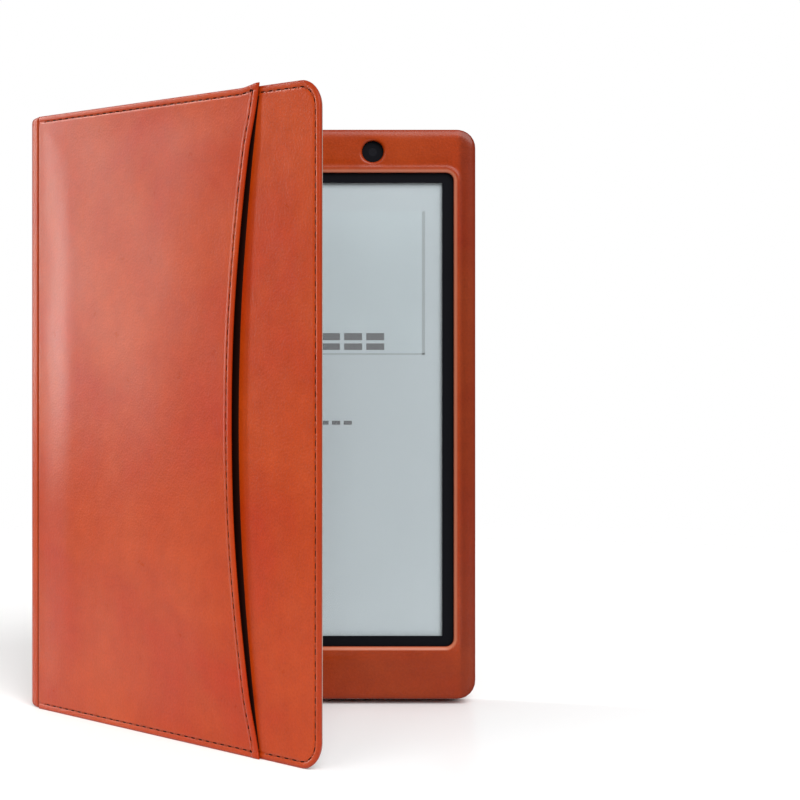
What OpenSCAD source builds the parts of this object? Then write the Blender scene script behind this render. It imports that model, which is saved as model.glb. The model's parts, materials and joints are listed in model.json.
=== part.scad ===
// E-reader in a leather folio: the reader stands in a framed sleeve, and the folio's front cover
// and spine open like a book. Millimetres, +Z up, seen from -Y. The origin is the centre of the
// standing folio's footprint. Every folio panel is drawn closed, about its own fold, then turned.

/* [Screen] */
// Width of the visible screen
screen_w = 118.8; // [90:0.2:160]
// Height of the visible screen
screen_h = 158.4; // [120:0.2:210]

/* [Reader] */
// Black border at each side of the screen
side_border = 8.85; // [8.5:0.05:14]
// Border above the screen
top_border = 16.4; // [15:0.1:24]
// Border below the screen
bottom_border = 19.2; // [18:0.1:28]
// Thickness of the whole reader
reader_t = 7; // [7:0.1:12]
// Corner radius of the reader
reader_corner_r = 6; // [2:0.1:8]
// Thickness of the front bezel plate
bezel_t = 0.8; // [0.6:0.1:1.4]
// Wall of the back shell
shell_wall = 1.3; // [1:0.1:2]
// Floor of the back shell
shell_floor = 1.2; // [0.8:0.1:1.6]
// Thickness of the metal mid frame
mid_frame_t = 0.8; // [0.5:0.1:1]
// Width of the battery cell
battery_w = 84; // [50:1:86]
// Height of the battery cell
battery_h = 72; // [40:1:76]
// Width of the main circuit board
board_w = 96; // [80:1:100]
// Height of the main circuit board
board_h = 50; // [44:1:54]
// Width of the power button
button_w = 11.4; // [6:0.1:16]
// Travel of the power button
button_travel = 0.4; // [0.2:0.05:0.6]
// Width of the charging socket's mouth
socket_w = 8.34; // [8:0.01:9.2]
// Height of the charging socket's mouth
socket_h = 2.56; // [2.3:0.01:2.8]
// Radius of the light sensor's lens
lens_r = 1.5; // [0.8:0.05:2]

/* [Holder] */
// Free space between the reader's sides and the sleeve
side_gap = 0.45; // [0.3:0.05:1]
// Free space in front of and behind the reader
face_gap = 0.3; // [0.3:0.05:0.8]
// Free space under the reader
seat_gap = 0.3; // [0.3:0.05:0.8]
// Thickness of the holder's side and bottom walls
holder_wall = 2.2; // [1.6:0.1:4]
// Height of the frame above the reader's top edge
top_margin = 2; // [0.5:0.1:6]
// Thickness of the stiffener inside the frame
frame_board_t = 1; // [0.6:0.1:2]
// Outer corner radius of the frame
holder_corner_r = 6.3; // [3:0.1:9]
// Black border left in view at each side of the screen
side_reveal = 3.9; // [1:0.1:6]
// Black border left in view above and below the screen
end_reveal = 3.4; // [1:0.1:6]
// Corner radius of the window
window_r = 2.8; // [0.5:0.1:4]
// Radius of the round sensor hole
sensor_hole_r = 3.75; // [2.6:0.05:4.4]
// Distance from the frame's right edge to the sensor hole
sensor_from_right = 35.8; // [20:0.1:50]
// Width of the cable cut-out under the charging socket
cable_gap_w = 13; // [11:0.5:20]

/* [Folio] */
// Thickness of the leather skin
leather_t = 0.8; // [0.5:0.05:1.4]
// Thickness of the stiffener in each panel
board_t = 1.4; // [0.8:0.1:2.4]
// Thickness of the inner lining
lining_t = 0.5; // [0.3:0.05:1]
// Height of the cover above the holder's top edge
top_overhang = 3.7; // [1:0.1:10]
// Height of the holder's bottom edge above the folio's foot
foot_lift = 2; // [0.5:0.1:4]
// Reach of the cover past the holder's free side
side_overhang = 0.7; // [0.5:0.1:8]
// How much lower than the cover the back panel ends
back_drop = 2.5; // [0:0.1:3]
// Corner radius of the cover's free edge
cover_corner_r = 8.4; // [3:0.1:16]
// Distance from the back fold to the holder
gutter = 7; // [3.6:0.1:9]
// Space between the closed cover and the frame
closed_gap = 0.4; // [0.3:0.1:2]
// Radius of the rolled folds
fold_r = 1.2; // [0.8:0.05:1.6]
// Space that the stiffeners and linings keep from each other at a closed fold
fold_clearance = 0.3; // [0.3:0.05:1.5]
// How far the spine has turned open at rest, in degrees
spine_open = 23; // [0:0.5:90]
// How far the cover has turned open on the spine at rest, in degrees
cover_open = 22.5; // [0:0.5:90]

/* [Pocket] */
// Distance from the cover's free edge to the pocket mouth at the corners
mouth_end_inset = 26.5; // [20:0.5:40]
// Depth of the mouth's curve
mouth_sag = 9; // [2:0.5:20]
// Space inside the pocket
pocket_gap = 1.6; // [0.8:0.1:3]
// Width of the sewn border of the pocket
sewn_border = 3.6; // [2.6:0.1:6]

/* [Stitching] */
// Distance from an edge to its row of stitches
stitch_inset = 2; // [1.6:0.1:2.4]
// Width of the sunk thread
thread_w = 0.5; // [0.3:0.05:0.8]
// Depth of the sunk thread
thread_d = 0.3; // [0.2:0.05:0.4]
// Distance from the front fold to the upright spine seam
seam_inset = 5.3; // [4.2:0.1:8]

/* [Hidden] */

$fn = 64;
arc_fn = 180;
eps = 0.01;
cut = 1;
through = 6;

// Reader, drawn with x from its left edge, y from its front face and z from its bottom edge
reader_w = screen_w + 2*side_border;
reader_h = screen_h + top_border + bottom_border;
panel_margin = 3.6;
guide_inset = 0.6;
ink_inset = 1;
adhesive_band = 9.6;
strip_h = 1.4;
strip_drop = 0.9;
film_t = 0.3;
guide_t = 0.5;
ink_t = 0.3;
backplane_t = 0.5;
adhesive_t = 0.2;
film_y = bezel_t;
guide_y = film_y + film_t;
ink_y = guide_y + guide_t;
backplane_y = ink_y + ink_t;
adhesive_y = backplane_y + backplane_t;
mid_y = adhesive_y + adhesive_t;
inner_y = mid_y + mid_frame_t;
floor_y = reader_t - shell_floor;
part_gap = 0.2;
board_standoff = 0.3;
pcb_t = 0.8;
pcb_y = inner_y + board_standoff;
chip_y = pcb_y + pcb_t;
chip_room = floor_y - chip_y - part_gap;
board_x = (reader_w - board_w)/2;
board_z = shell_wall + 3;
battery_x = shell_wall + 8;
battery_z = board_z + board_h + 8;
battery_t = floor_y - inner_y - part_gap;
lead_landing = 6;
lead_w = 5;
lead_t = 0.6;
board_screw_r = 0.8;
thread_fit = 0.02;
board_screw_inset = 4;
case_screw_r = 0.9;
head_gap = 0.25;
case_screw_end = 12;
screw_head_r = 1.4;
case_screw_x = side_border - panel_margin - screw_head_r - head_gap;
screw_head_t = 0.5;
boss_r = 2;
screw_reach = 1.6;
ribbon_t = 0.15;
ribbon_drop = 4.6;
ribbon_gap = 0.5;
ribbon_z = bottom_border - panel_margin - ribbon_drop;
display_ribbon_w = 22;
display_ribbon_x = reader_w/2 - 32;
touch_ribbon_w = 12;
touch_ribbon_x = reader_w/2 + 34;
socket_wall = 0.35;
socket_len = 7.2;
socket_side = 1.2;
socket_behind = 0.5;
socket_r = socket_h/2;
socket_y = floor_y - part_gap - socket_wall - socket_r;

// Top edge of the reader: power button, switch and light sensor
running_gap = 0.3;
button_x = 22;
button_t = 1.4;
button_set_back = 0.3;
button_y = inner_y + running_gap + button_set_back + button_t/2;
button_proud = 0.5;
flange_t = 0.6;
flange_side = 0.9;
flange_z = reader_h - shell_wall - running_gap - flange_t;
switch_w = 6;
switch_h = 2.4;
switch_t = 1.6;
switch_gap = 0.1;
switch_z = flange_z - button_travel - switch_gap - switch_h;
bracket_t = 0.6;
bracket_side = 3;
sensor_board_w = 34;
sensor_board_h = 8;
sensor_board_t = 0.6;
antenna_w = 40;
antenna_left = 30;
antenna_h = 8;
antenna_t = 0.3;
antenna_drop = 11;
sensor_rise = 5.6;
sensor_board_x = reader_w + holder_wall + side_gap - sensor_from_right - sensor_board_w/2;
sensor_board_z = reader_h - sensor_rise - sensor_board_h/2;
flex_w = 4;
flex_edge = 1;
lens_clearance = 0.5;
lens_sink = 0.1;
light_chip_w = 3;
light_chip_h = 2;
flex_landing = 2.4;
flex_x = min(board_x + board_w, sensor_board_x + sensor_board_w) - flex_w - flex_edge;

// Holder and panels, drawn from the back fold's axis; +Y is away from the reader's face
skin = leather_t/2;
board_face = skin + board_t;
lining_face = board_face + lining_t;
fold_setback = lining_face + fold_clearance;
sleeve_t = reader_t + 2*face_gap;
plug_wall = 1.2;
plug_room = 2*(reader_t - socket_y) - plug_wall;
sleeve_front = lining_face + sleeve_t;
frame_face = sleeve_front + frame_board_t + leather_t;
holder_w = reader_w + 2*(side_gap + holder_wall);
holder_h = holder_wall + seat_gap + reader_h + top_margin;
holder_x = gutter;
reader_x = holder_x + holder_wall + side_gap;
reader_z = foot_lift + holder_wall + seat_gap;
back_w = holder_x + holder_w;
cover_h = foot_lift + holder_h + top_overhang;
back_h = cover_h - back_drop;
cover_w = back_w + side_overhang;
spine_w = frame_face + closed_gap + lining_face;
window_w = screen_w + 2*side_reveal;
window_h = screen_h + 2*end_reveal;
window_x = reader_x + side_border - side_reveal;
window_z = reader_z + bottom_border - end_reveal;
sensor_x = back_w - sensor_from_right;
sensor_z = reader_z + reader_h - sensor_rise;
frame_inset = 0.6;
board_inset = 1;
lining_inset = 2.6;
skin_gap = 0.4;
magnet_r = 4;
magnet_t = 1;
magnet_step = 14;
magnet_inset = 12;
magnet_z = 126.6;

// Pocket outline: the mouth is an arc that bows towards the spine
mouth_r = (pow(cover_h/2, 2) + pow(mouth_sag, 2))/(2*mouth_sag);
mouth_mid = cover_w - mouth_end_inset - mouth_sag;
pocket_seam_gap = 0.3;
pocket_x = seam_inset + thread_w + pocket_seam_gap;
pocket_face = skin + pocket_gap + leather_t;

// Corners of everything in plan at rest, which give the middle of the footprint
front_fold = turned([0, -spine_w], spine_open);
cover_turn = spine_open + cover_open;
plan_points = concat(
    [for (s = [-1, 1]) [s*fold_r, s*fold_r]],
    [for (s = [-1, 1]) front_fold + [s*fold_r, s*fold_r]],
    [[back_w, skin], [back_w, -frame_face], [holder_x, -frame_face]],
    [for (p = [[cover_w, -skin], [cover_w - lining_inset, lining_face],
        [fold_setback, lining_face], [fold_r + skin_gap, -skin], [pocket_x, -pocket_face],
        [mouth_mid, -pocket_face], [cover_w - mouth_end_inset, -pocket_face]])
        front_fold + turned(p, cover_turn)]);
middle_x = (min([for (p = plan_points) p[0]]) + max([for (p = plan_points) p[0]]))/2;
middle_y = (min([for (p = plan_points) p[1]]) + max([for (p = plan_points) p[1]]))/2;

// A plan point turned clockwise by an angle, as the folio opens
function turned(p, a) = [p[0]*cos(a) + p[1]*sin(a), p[1]*cos(a) - p[0]*sin(a)];

// ---- Places -----------------------------------------------------------------------------

module on_back() {
    translate([-middle_x, -middle_y, 0]) children();
}

module on_spine() {
    on_back() rotate([0, 0, -spine_open]) children();
}

module on_cover() {
    on_spine() translate([0, -spine_w, 0]) rotate([0, 0, -cover_open]) children();
}

module in_reader() {
    on_back() translate([reader_x, face_gap - sleeve_front, reader_z]) children();
}

// ---- Shapes -----------------------------------------------------------------------------

// Upright plate whose face is drawn in x and z, from y0 to y1
module plate(y0, y1) {
    translate([0, y1, 0]) rotate([90, 0, 0]) linear_extrude(y1 - y0) children();
}

// Block from a lowest corner
module block(x, y, z, w, t, h) {
    translate([x, y, z]) cube([w, t, h]);
}

// Rectangle with four round corners
module round_rect(w, h, r) {
    translate([r, 0]) square([w - 2*r, h]);
    translate([0, r]) square([w, h - 2*r]);
    for (x = [r, w - r], y = [r, h - r]) translate([x, y]) circle(r);
}

// Rectangle whose two corners on the +x side are round
module round_end_rect(w, h, r) {
    square([w - r, h]);
    translate([0, r]) square([w, h - 2*r]);
    for (y = [r, h - r]) translate([w - r, y]) circle(r);
}

// Everything on the spine side of the pocket mouth's arc, moved by a distance towards the spine
module behind_mouth(back_by) {
    difference() {
        square([cover_w, cover_h]);
        translate([mouth_mid - back_by + mouth_r, cover_h/2]) circle(mouth_r, $fn = arc_fn);
    }
}

// Line of the stitches round the cover, as wide as asked
module edge_line(width) {
    difference() {
        inset_cover(stitch_inset - width/2);
        inset_cover(stitch_inset + width/2);
    }
}

// Cover outline drawn in from its three sewn edges; the fold side runs on past the seam
module inset_cover(by) {
    translate([fold_r + skin_gap, by])
        round_end_rect(cover_w - fold_r - skin_gap - by, cover_h - 2*by, cover_corner_r - by);
}

// ---- Front cover ------------------------------------------------------------------------

module cover_leather() color("#c8583a") on_cover() difference() {
    plate(-skin, skin) inset_cover(0);
    plate(-skin - cut, -skin + thread_d) cover_grooves();
}

module cover_grooves() {
    intersection() {
        edge_line(thread_w);
        translate([cover_w - mouth_end_inset - mouth_sag - sewn_border, 0])
            square([cover_w, cover_h]);
    }
    translate([seam_inset - thread_w/2, stitch_inset]) square([thread_w, cover_h - 2*stitch_inset]);
}

module cover_board() color("#8f8a80") on_cover() difference() {
    plate(skin, board_face) translate([fold_setback, board_inset])
        round_end_rect(cover_w - fold_setback - board_inset, cover_h - 2*board_inset,
            cover_corner_r - board_inset);
    magnet_places() cylinder(r = magnet_r, h = magnet_t);
}

module magnet_places() {
    for (i = [0, 1]) translate([cover_w - magnet_inset, board_face, magnet_z + i*magnet_step])
        rotate([90, 0, 0]) children();
}

module sleep_magnets() color("#b9bcc0") on_cover()
    magnet_places() cylinder(r = magnet_r, h = magnet_t);

module cover_lining() color("#7d4530") on_cover() plate(board_face, lining_face)
    translate([fold_setback, lining_inset])
        round_end_rect(cover_w - fold_setback - lining_inset, cover_h - 2*lining_inset,
            cover_corner_r - lining_inset);

// Outer pocket: a sheet that stands off the cover and is sewn down along three sides
module pocket_panel() color("#c65a38") on_cover() difference() {
    plate(-pocket_face, -skin) pocket_outline();
    plate(-skin - pocket_gap, -skin + cut) translate([pocket_x + sewn_border, sewn_border])
        square([cover_w, cover_h - 2*sewn_border]);
    plate(-pocket_face - cut, -pocket_face + thread_d) pocket_grooves();
}

module pocket_outline() {
    intersection() {
        behind_mouth(0);
        translate([pocket_x, 0]) square([cover_w, cover_h]);
    }
}

module pocket_grooves() {
    intersection() {
        edge_line(thread_w);
        pocket_outline();
    }
    intersection() {
        difference() {
            behind_mouth(stitch_inset - thread_w/2);
            behind_mouth(stitch_inset + thread_w/2);
        }
        translate([0, stitch_inset]) square([cover_w, cover_h - 2*stitch_inset]);
    }
}

// Thread round the cover's edge: on the bare cover beside the mouth
module cover_edge_thread() color("#6d3020") on_cover()
    plate(-skin, -skin + thread_d) difference() {
        intersection() {
            edge_line(thread_w);
            translate([cover_w - mouth_end_inset - mouth_sag - sewn_border, 0])
                square([cover_w, cover_h]);
        }
        pocket_outline();
    }

// Thread on the pocket: along its mouth and along its top and bottom edges
module pocket_mouth_thread() color("#6d3020") on_cover()
    plate(-pocket_face, -pocket_face + thread_d) pocket_grooves();

module spine_seam_thread() color("#6d3020") on_cover() plate(-skin, -skin + thread_d)
    translate([seam_inset - thread_w/2, stitch_inset]) square([thread_w, cover_h - 2*stitch_inset]);

// ---- Spine ------------------------------------------------------------------------------

// Spine skin with a rolled fold along each long edge
module spine_leather() color("#bf5535") on_spine() {
    block(-skin, -spine_w, 0, leather_t, spine_w, cover_h);
    translate([0, -spine_w, 0]) cylinder(r = fold_r, h = cover_h);
    cylinder(r = fold_r, h = cover_h);
}

module spine_board() color("#8f8a80") on_spine()
    block(skin, fold_setback - spine_w, board_inset, board_t, spine_w - 2*fold_setback,
        cover_h - 2*board_inset);

module spine_lining() color("#7d4530") on_spine()
    block(board_face, fold_setback - spine_w, lining_inset, lining_t, spine_w - 2*fold_setback,
        cover_h - 2*lining_inset);

// ---- Back panel and holder --------------------------------------------------------------

module back_leather() color("#b8502f") on_back() plate(-skin, skin)
    translate([fold_r + skin_gap, 0]) round_end_rect(back_w - fold_r - skin_gap, back_h,
        holder_corner_r);

module back_board() color("#8f8a80") on_back() plate(-board_face, -skin)
    translate([fold_setback, board_inset]) round_end_rect(back_w - fold_setback - board_inset,
        back_h - 2*board_inset, holder_corner_r - board_inset);

module back_lining() color("#2e2a28") on_back() plate(-lining_face, -board_face)
    translate([fold_setback, board_inset]) round_end_rect(back_w - fold_setback - board_inset,
        back_h - 2*board_inset, holder_corner_r - board_inset);

// Front frame of the holder, less its window and sensor hole, drawn in by a distance
module frame_outline(inset) {
    difference() {
        translate([holder_x + inset, foot_lift + inset])
            round_rect(holder_w - 2*inset, holder_h - 2*inset, holder_corner_r - inset);
        translate([window_x - inset, window_z - inset])
            round_rect(window_w + 2*inset, window_h + 2*inset, window_r + inset);
        translate([sensor_x, sensor_z]) circle(sensor_hole_r + inset);
    }
}

module frame_board() color("#55504a") on_back()
    plate(-sleeve_front - frame_board_t, -sleeve_front) frame_outline(frame_inset);

module frame_leather() color("#9c4326") on_back()
    plate(-frame_face, -sleeve_front - frame_board_t) frame_outline(0);

// Side wall of the sleeve, as tall as the frame between its corners
module side_wall(x) {
    block(x, -sleeve_front, foot_lift + holder_corner_r, holder_wall, sleeve_t,
        holder_h - 2*holder_corner_r);
}

module holder_left_wall() color("#8a3a22") on_back() side_wall(holder_x);

module holder_right_wall() color("#8a3a22") on_back() side_wall(back_w - holder_wall);

module holder_bottom_wall() color("#8a3a22") on_back() difference() {
    block(holder_x + holder_corner_r, -sleeve_front, foot_lift, holder_w - 2*holder_corner_r,
        sleeve_t, holder_wall);
    block(reader_x + (reader_w - cable_gap_w)/2, -sleeve_front + face_gap + socket_y - plug_room/2,
        foot_lift - cut, cable_gap_w, plug_room, holder_wall + 2*cut);
}

// ---- Reader: front and display ----------------------------------------------------------

module front_bezel() color("#17161a") in_reader() difference() {
    plate(0, bezel_t) difference() {
        round_rect(reader_w, reader_h, reader_corner_r);
        translate([side_border, bottom_border]) square([screen_w, screen_h]);
    }
    at_sensor() cylinder(r = lens_r + eps, h = through, center = true);
}

module at_sensor() {
    translate([sensor_x - reader_x, 0, reader_h - sensor_rise]) rotate([-90, 0, 0]) children();
}

// One layer of the display, as wide and tall as the screen and its margin
module display_layer(y, t, margin) {
    block(side_border - margin, y, bottom_border - margin, screen_w + 2*margin, t,
        screen_h + 2*margin);
}

module touch_film() color("#dfe6ea", 0.4) in_reader()
    display_layer(film_y, film_t, panel_margin);

module light_guide() color("#eef2f4", 0.5) in_reader()
    display_layer(guide_y, guide_t, panel_margin - guide_inset);

module light_strip() color("#e8e2c8") in_reader()
    block(side_border, guide_y, bottom_border - panel_margin - strip_drop, screen_w, guide_t, strip_h);

module ink_panel() color("#b8c4ca") in_reader()
    display_layer(ink_y, ink_t, panel_margin - ink_inset);

module panel_backplane() color("#5b6b66") in_reader()
    display_layer(backplane_y, backplane_t, panel_margin);

module panel_adhesive() color("#2b2b2b") in_reader() difference() {
    display_layer(adhesive_y, adhesive_t, panel_margin);
    display_layer(adhesive_y - cut, adhesive_t + 2*cut, panel_margin - adhesive_band);
}

// ---- Reader: frame and boards -----------------------------------------------------------

module mid_frame() color("#a9adb0") in_reader() difference() {
    union() {
        plate(mid_y, inner_y) translate([shell_wall + part_gap, shell_wall + part_gap])
            round_rect(reader_w - 2*(shell_wall + part_gap), reader_h - 2*(shell_wall + part_gap),
                reader_corner_r - shell_wall - part_gap);
        at_board_screws() cylinder(r = boss_r, h = board_standoff);
    }
    at_board_screws() cylinder(r = board_screw_r, h = through, center = true);
    at_case_screws() cylinder(r = case_screw_r + part_gap, h = through, center = true);
    at_sensor() cylinder(r = lens_r + lens_clearance, h = 2*reader_t, center = true);
    block((reader_w - socket_w)/2 - socket_side, mid_y - cut, -cut, socket_w + 2*socket_side,
        mid_frame_t + 2*cut, socket_len + 2*cut);
    ribbon_slot(display_ribbon_x, display_ribbon_w);
    ribbon_slot(touch_ribbon_x, touch_ribbon_w);
}

// Slot in the mid frame that lets a ribbon through to the main board
module ribbon_slot(x, w) {
    block(x - w/2 - ribbon_gap, mid_y - cut, ribbon_z - ribbon_gap, w + 2*ribbon_gap,
        mid_frame_t + 2*cut, ribbon_t + 2*ribbon_gap);
}

// Board screws at the main board's corners, pointing from the back towards the mid frame
module at_board_screws() {
    for (x = [board_x + board_screw_inset, board_x + board_w - board_screw_inset],
        z = [board_z + board_screw_inset, board_z + board_h - board_screw_inset])
        translate([x, inner_y, z]) rotate([-90, 0, 0]) children();
}

// Case screws: three along each long side
module at_case_screws() {
    for (x = [case_screw_x, reader_w - case_screw_x],
        z = [case_screw_end, reader_h/2, reader_h - case_screw_end])
        translate([x, mid_y, z]) rotate([-90, 0, 0]) children();
}

module board_screws() color("#c4c6c8") in_reader() at_board_screws() {
    translate([0, 0, -mid_frame_t])
        cylinder(r = board_screw_r - thread_fit, h = mid_frame_t + board_standoff + pcb_t);
    translate([0, 0, board_standoff + pcb_t]) cylinder(r = screw_head_r, h = screw_head_t);
}

module case_screws() color("#c4c6c8") in_reader() at_case_screws() {
    translate([0, 0, -screw_head_t]) cylinder(r = screw_head_r, h = screw_head_t);
    cylinder(r = case_screw_r, h = mid_frame_t + screw_reach);
}

module main_board() color("#1f5c3f") in_reader() difference() {
    block(board_x, pcb_y, board_z, board_w, pcb_t, board_h);
    at_board_screws() cylinder(r = board_screw_r, h = through, center = true);
    block((reader_w - socket_w)/2 - socket_side, pcb_y - cut, board_z - cut,
        socket_w + 2*socket_side, pcb_t + 2*cut, socket_len + 2*cut - board_z + socket_behind);
}

module chip(x, z, w, h, t) {
    block(board_x + x, chip_y, board_z + z, w, t, h);
}

module processor_shield() color("#b4b7ba") in_reader() chip(x = 14, z = 18, w = 26, h = 24, t = chip_room);

module memory_chip() color("#232323") in_reader() chip(x = 46, z = 26, w = 14, h = 11, t = 0.9);

module power_chip() color("#2b2b2e") in_reader() chip(x = board_w - 30, z = 22, w = 9, h = 9, t = 0.8);

module battery_cell() color("#d5d7d8") in_reader()
    block(battery_x, inner_y, battery_z, battery_w, battery_t, battery_h);

module battery_lead() color("#a3242a") in_reader()
    block(battery_x + battery_w/2, chip_y, board_z + board_h - lead_landing, lead_w, lead_t,
        battery_z - board_z - board_h + lead_landing);

// Ribbon that leaves a display layer's lower edge, passes the mid frame and lands on the board
module display_ribbon(x, w, y) {
    block(x - w/2, y, ribbon_z, w, ribbon_t, ribbon_drop);
    block(x - w/2, y, ribbon_z, w, pcb_y - y, ribbon_t);
    block(x - w/2, pcb_y - ribbon_t, ribbon_z, w, ribbon_t, ribbon_drop);
}

module display_flex() color("#b8772a") in_reader()
    display_ribbon(display_ribbon_x, display_ribbon_w, backplane_y);

module touch_flex() color("#b8772a") in_reader()
    display_ribbon(touch_ribbon_x, touch_ribbon_w, film_y);

module charging_socket() color("#c9ccce") in_reader()
    translate([reader_w/2, socket_y, 0]) difference() {
        linear_extrude(socket_len) stadium(socket_w + 2*socket_wall, socket_h + 2*socket_wall);
        translate([0, 0, -cut]) linear_extrude(socket_len) stadium(socket_w, socket_h);
    }

module stadium(w, h) {
    square([w - h, h], center = true);
    for (s = [-1, 1]) translate([s*(w - h)/2, 0]) circle(h/2);
}

// ---- Reader: top edge -------------------------------------------------------------------

module button_switch() color("#3a3a3d") in_reader()
    block(button_x - switch_w/2, button_y - switch_t/2, switch_z, switch_w, switch_t, switch_h);

module button_bracket() color("#a9adb0") in_reader()
    block(button_x - switch_w/2 - bracket_side, inner_y, switch_z - bracket_t,
        switch_w + 2*bracket_side, floor_y - inner_y - part_gap, bracket_t);

module sensor_board() color("#1f5c3f") in_reader()
    block(sensor_board_x, chip_y - sensor_board_t, sensor_board_z, sensor_board_w, sensor_board_t,
        sensor_board_h);

module sensor_flex() color("#b8772a") in_reader()
    block(flex_x, chip_y, board_z + board_h - flex_landing, flex_w, ribbon_t,
        sensor_board_z + 2*flex_landing - board_z - board_h);

module light_sensor() color("#4a4a50") in_reader() at_sensor()
    translate([-light_chip_w/2, -light_chip_h/2, mid_y + part_gap])
        cube([light_chip_w, light_chip_h, chip_y - sensor_board_t - mid_y - part_gap]);

module sensor_lens() color("#2c2f3a") in_reader() at_sensor()
    translate([0, 0, lens_sink]) cylinder(r = lens_r, h = bezel_t - lens_sink);

module wifi_antenna() color("#c98f3a") in_reader()
    block(reader_w/2 - antenna_left, floor_y - antenna_t, reader_h - shell_wall - antenna_drop, antenna_w,
        antenna_t, antenna_h);

module hall_sensor() color("#232323") in_reader()
    chip(x = board_w - 14, z = 34, w = 3, h = 3, t = 0.7);

// Tub with a screw boss under each case screw
module back_shell() color("#1d1d20") in_reader() difference() {
    union() {
        difference() {
            plate(bezel_t, reader_t) round_rect(reader_w, reader_h, reader_corner_r);
            plate(bezel_t - cut, floor_y) translate([shell_wall, shell_wall])
                round_rect(reader_w - 2*shell_wall, reader_h - 2*shell_wall,
                    reader_corner_r - shell_wall);
        }
        at_case_screws() translate([0, 0, mid_frame_t])
            cylinder(r = boss_r, h = floor_y - inner_y + eps);
    }
    at_case_screws() cylinder(r = case_screw_r + eps, h = mid_frame_t + screw_reach + part_gap);
    translate([reader_w/2, socket_y, -cut]) linear_extrude(shell_wall + 2*cut)
        stadium(socket_w + 2*socket_wall + eps, socket_h + 2*socket_wall + eps);
    block(button_x - button_w/2 - running_gap, button_y - button_t/2 - running_gap,
        reader_h - shell_wall - cut, button_w + 2*running_gap, button_t + 2*running_gap,
        shell_wall + 2*cut);
}

module power_button() color("#2a2a2e") in_reader() {
    block(button_x - button_w/2, button_y - button_t/2, flange_z, button_w, button_t,
        reader_h + button_proud - flange_z);
    block(button_x - button_w/2 - flange_side, button_y - button_t/2, flange_z,
        button_w + 2*flange_side, button_t, flange_t);
}

cover_leather();
cover_board();
cover_lining();
pocket_panel();
cover_edge_thread();
pocket_mouth_thread();
spine_seam_thread();
sleep_magnets();
spine_leather();
spine_board();
spine_lining();
back_leather();
back_board();
back_lining();
frame_board();
frame_leather();
holder_left_wall();
holder_right_wall();
holder_bottom_wall();
front_bezel();
touch_film();
light_guide();
light_strip();
ink_panel();
panel_backplane();
panel_adhesive();
mid_frame();
main_board();
processor_shield();
memory_chip();
power_chip();
battery_cell();
battery_lead();
display_flex();
touch_flex();
charging_socket();
button_switch();
button_bracket();
sensor_board();
sensor_flex();
light_sensor();
sensor_lens();
wifi_antenna();
hall_sensor();
case_screws();
board_screws();
back_shell();
power_button();
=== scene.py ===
"""Looks of an e-reader in a leather folio: its leather, stitching, linings, screen and small parts.

Lengths are worked out in millimetres and put into the meshes in metres. A folio panel is described by
w, the distance from its fold, n, the distance out of its mid skin, and z, the height.
"""

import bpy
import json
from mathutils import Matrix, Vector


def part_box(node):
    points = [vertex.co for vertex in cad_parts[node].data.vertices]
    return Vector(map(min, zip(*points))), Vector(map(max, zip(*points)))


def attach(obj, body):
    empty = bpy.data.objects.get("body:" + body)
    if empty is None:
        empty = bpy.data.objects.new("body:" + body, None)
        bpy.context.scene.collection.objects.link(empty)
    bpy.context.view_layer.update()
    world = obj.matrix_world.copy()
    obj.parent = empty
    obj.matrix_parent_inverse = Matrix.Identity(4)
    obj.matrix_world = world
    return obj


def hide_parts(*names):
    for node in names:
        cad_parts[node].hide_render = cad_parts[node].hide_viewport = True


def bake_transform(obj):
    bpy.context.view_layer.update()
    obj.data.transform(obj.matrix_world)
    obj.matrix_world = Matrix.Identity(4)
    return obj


bl_info = {
    "name": "Leather folio reader",
    "version": (1, 0, 0),
    "blender": (4, 5, 0),
    "location": "3D View > Sidebar > Folio",
    "description": "Builds the leather folio and the finishes of an e-reader around its frame",
    "category": "Object",
}

import json
import math

import bmesh
import bpy
import numpy as np
from bpy.props import FloatProperty, FloatVectorProperty, PointerProperty
from mathutils import Vector

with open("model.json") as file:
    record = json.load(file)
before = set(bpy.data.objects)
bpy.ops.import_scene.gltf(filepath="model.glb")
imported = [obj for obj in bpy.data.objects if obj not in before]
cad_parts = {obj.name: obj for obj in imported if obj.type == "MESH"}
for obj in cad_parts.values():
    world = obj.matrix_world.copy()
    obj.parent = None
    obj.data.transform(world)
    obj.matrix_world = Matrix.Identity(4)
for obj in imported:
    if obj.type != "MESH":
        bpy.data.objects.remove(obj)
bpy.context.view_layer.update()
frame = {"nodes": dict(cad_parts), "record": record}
MM = 0.001

# Half the leather's thickness, and the stiffener board behind it, in millimetres
HALF_SKIN = 0.4
BOARD = 1.42

# Place of the camera from the back's fold in metres, its lens in millimetres and its shift
CAMERA_FROM_FOLD = (0.12253, -0.70038, 0.12648)
CAMERA_LENS = 88.93
CAMERA_SHIFT = -0.0725


# ---- Reading the frame ---------------------------------------------------------------------


def joint(name):
    """The record's joint of that name."""
    return next(j for j in frame["record"]["behaviour"]["joints"] if j["name"] == name)


def opening(name):
    """The record's opening of that name, as its low and high corner in millimetres."""
    found = next(o for o in frame["record"]["physics"]["openings"] if o["name"] == name)
    return np.array(found["box_m"]) / MM


def plan_direction(degrees):
    """Unit vector in plan at an angle from +X."""
    angle = math.radians(degrees)
    return np.array([math.cos(angle), math.sin(angle)])


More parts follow.
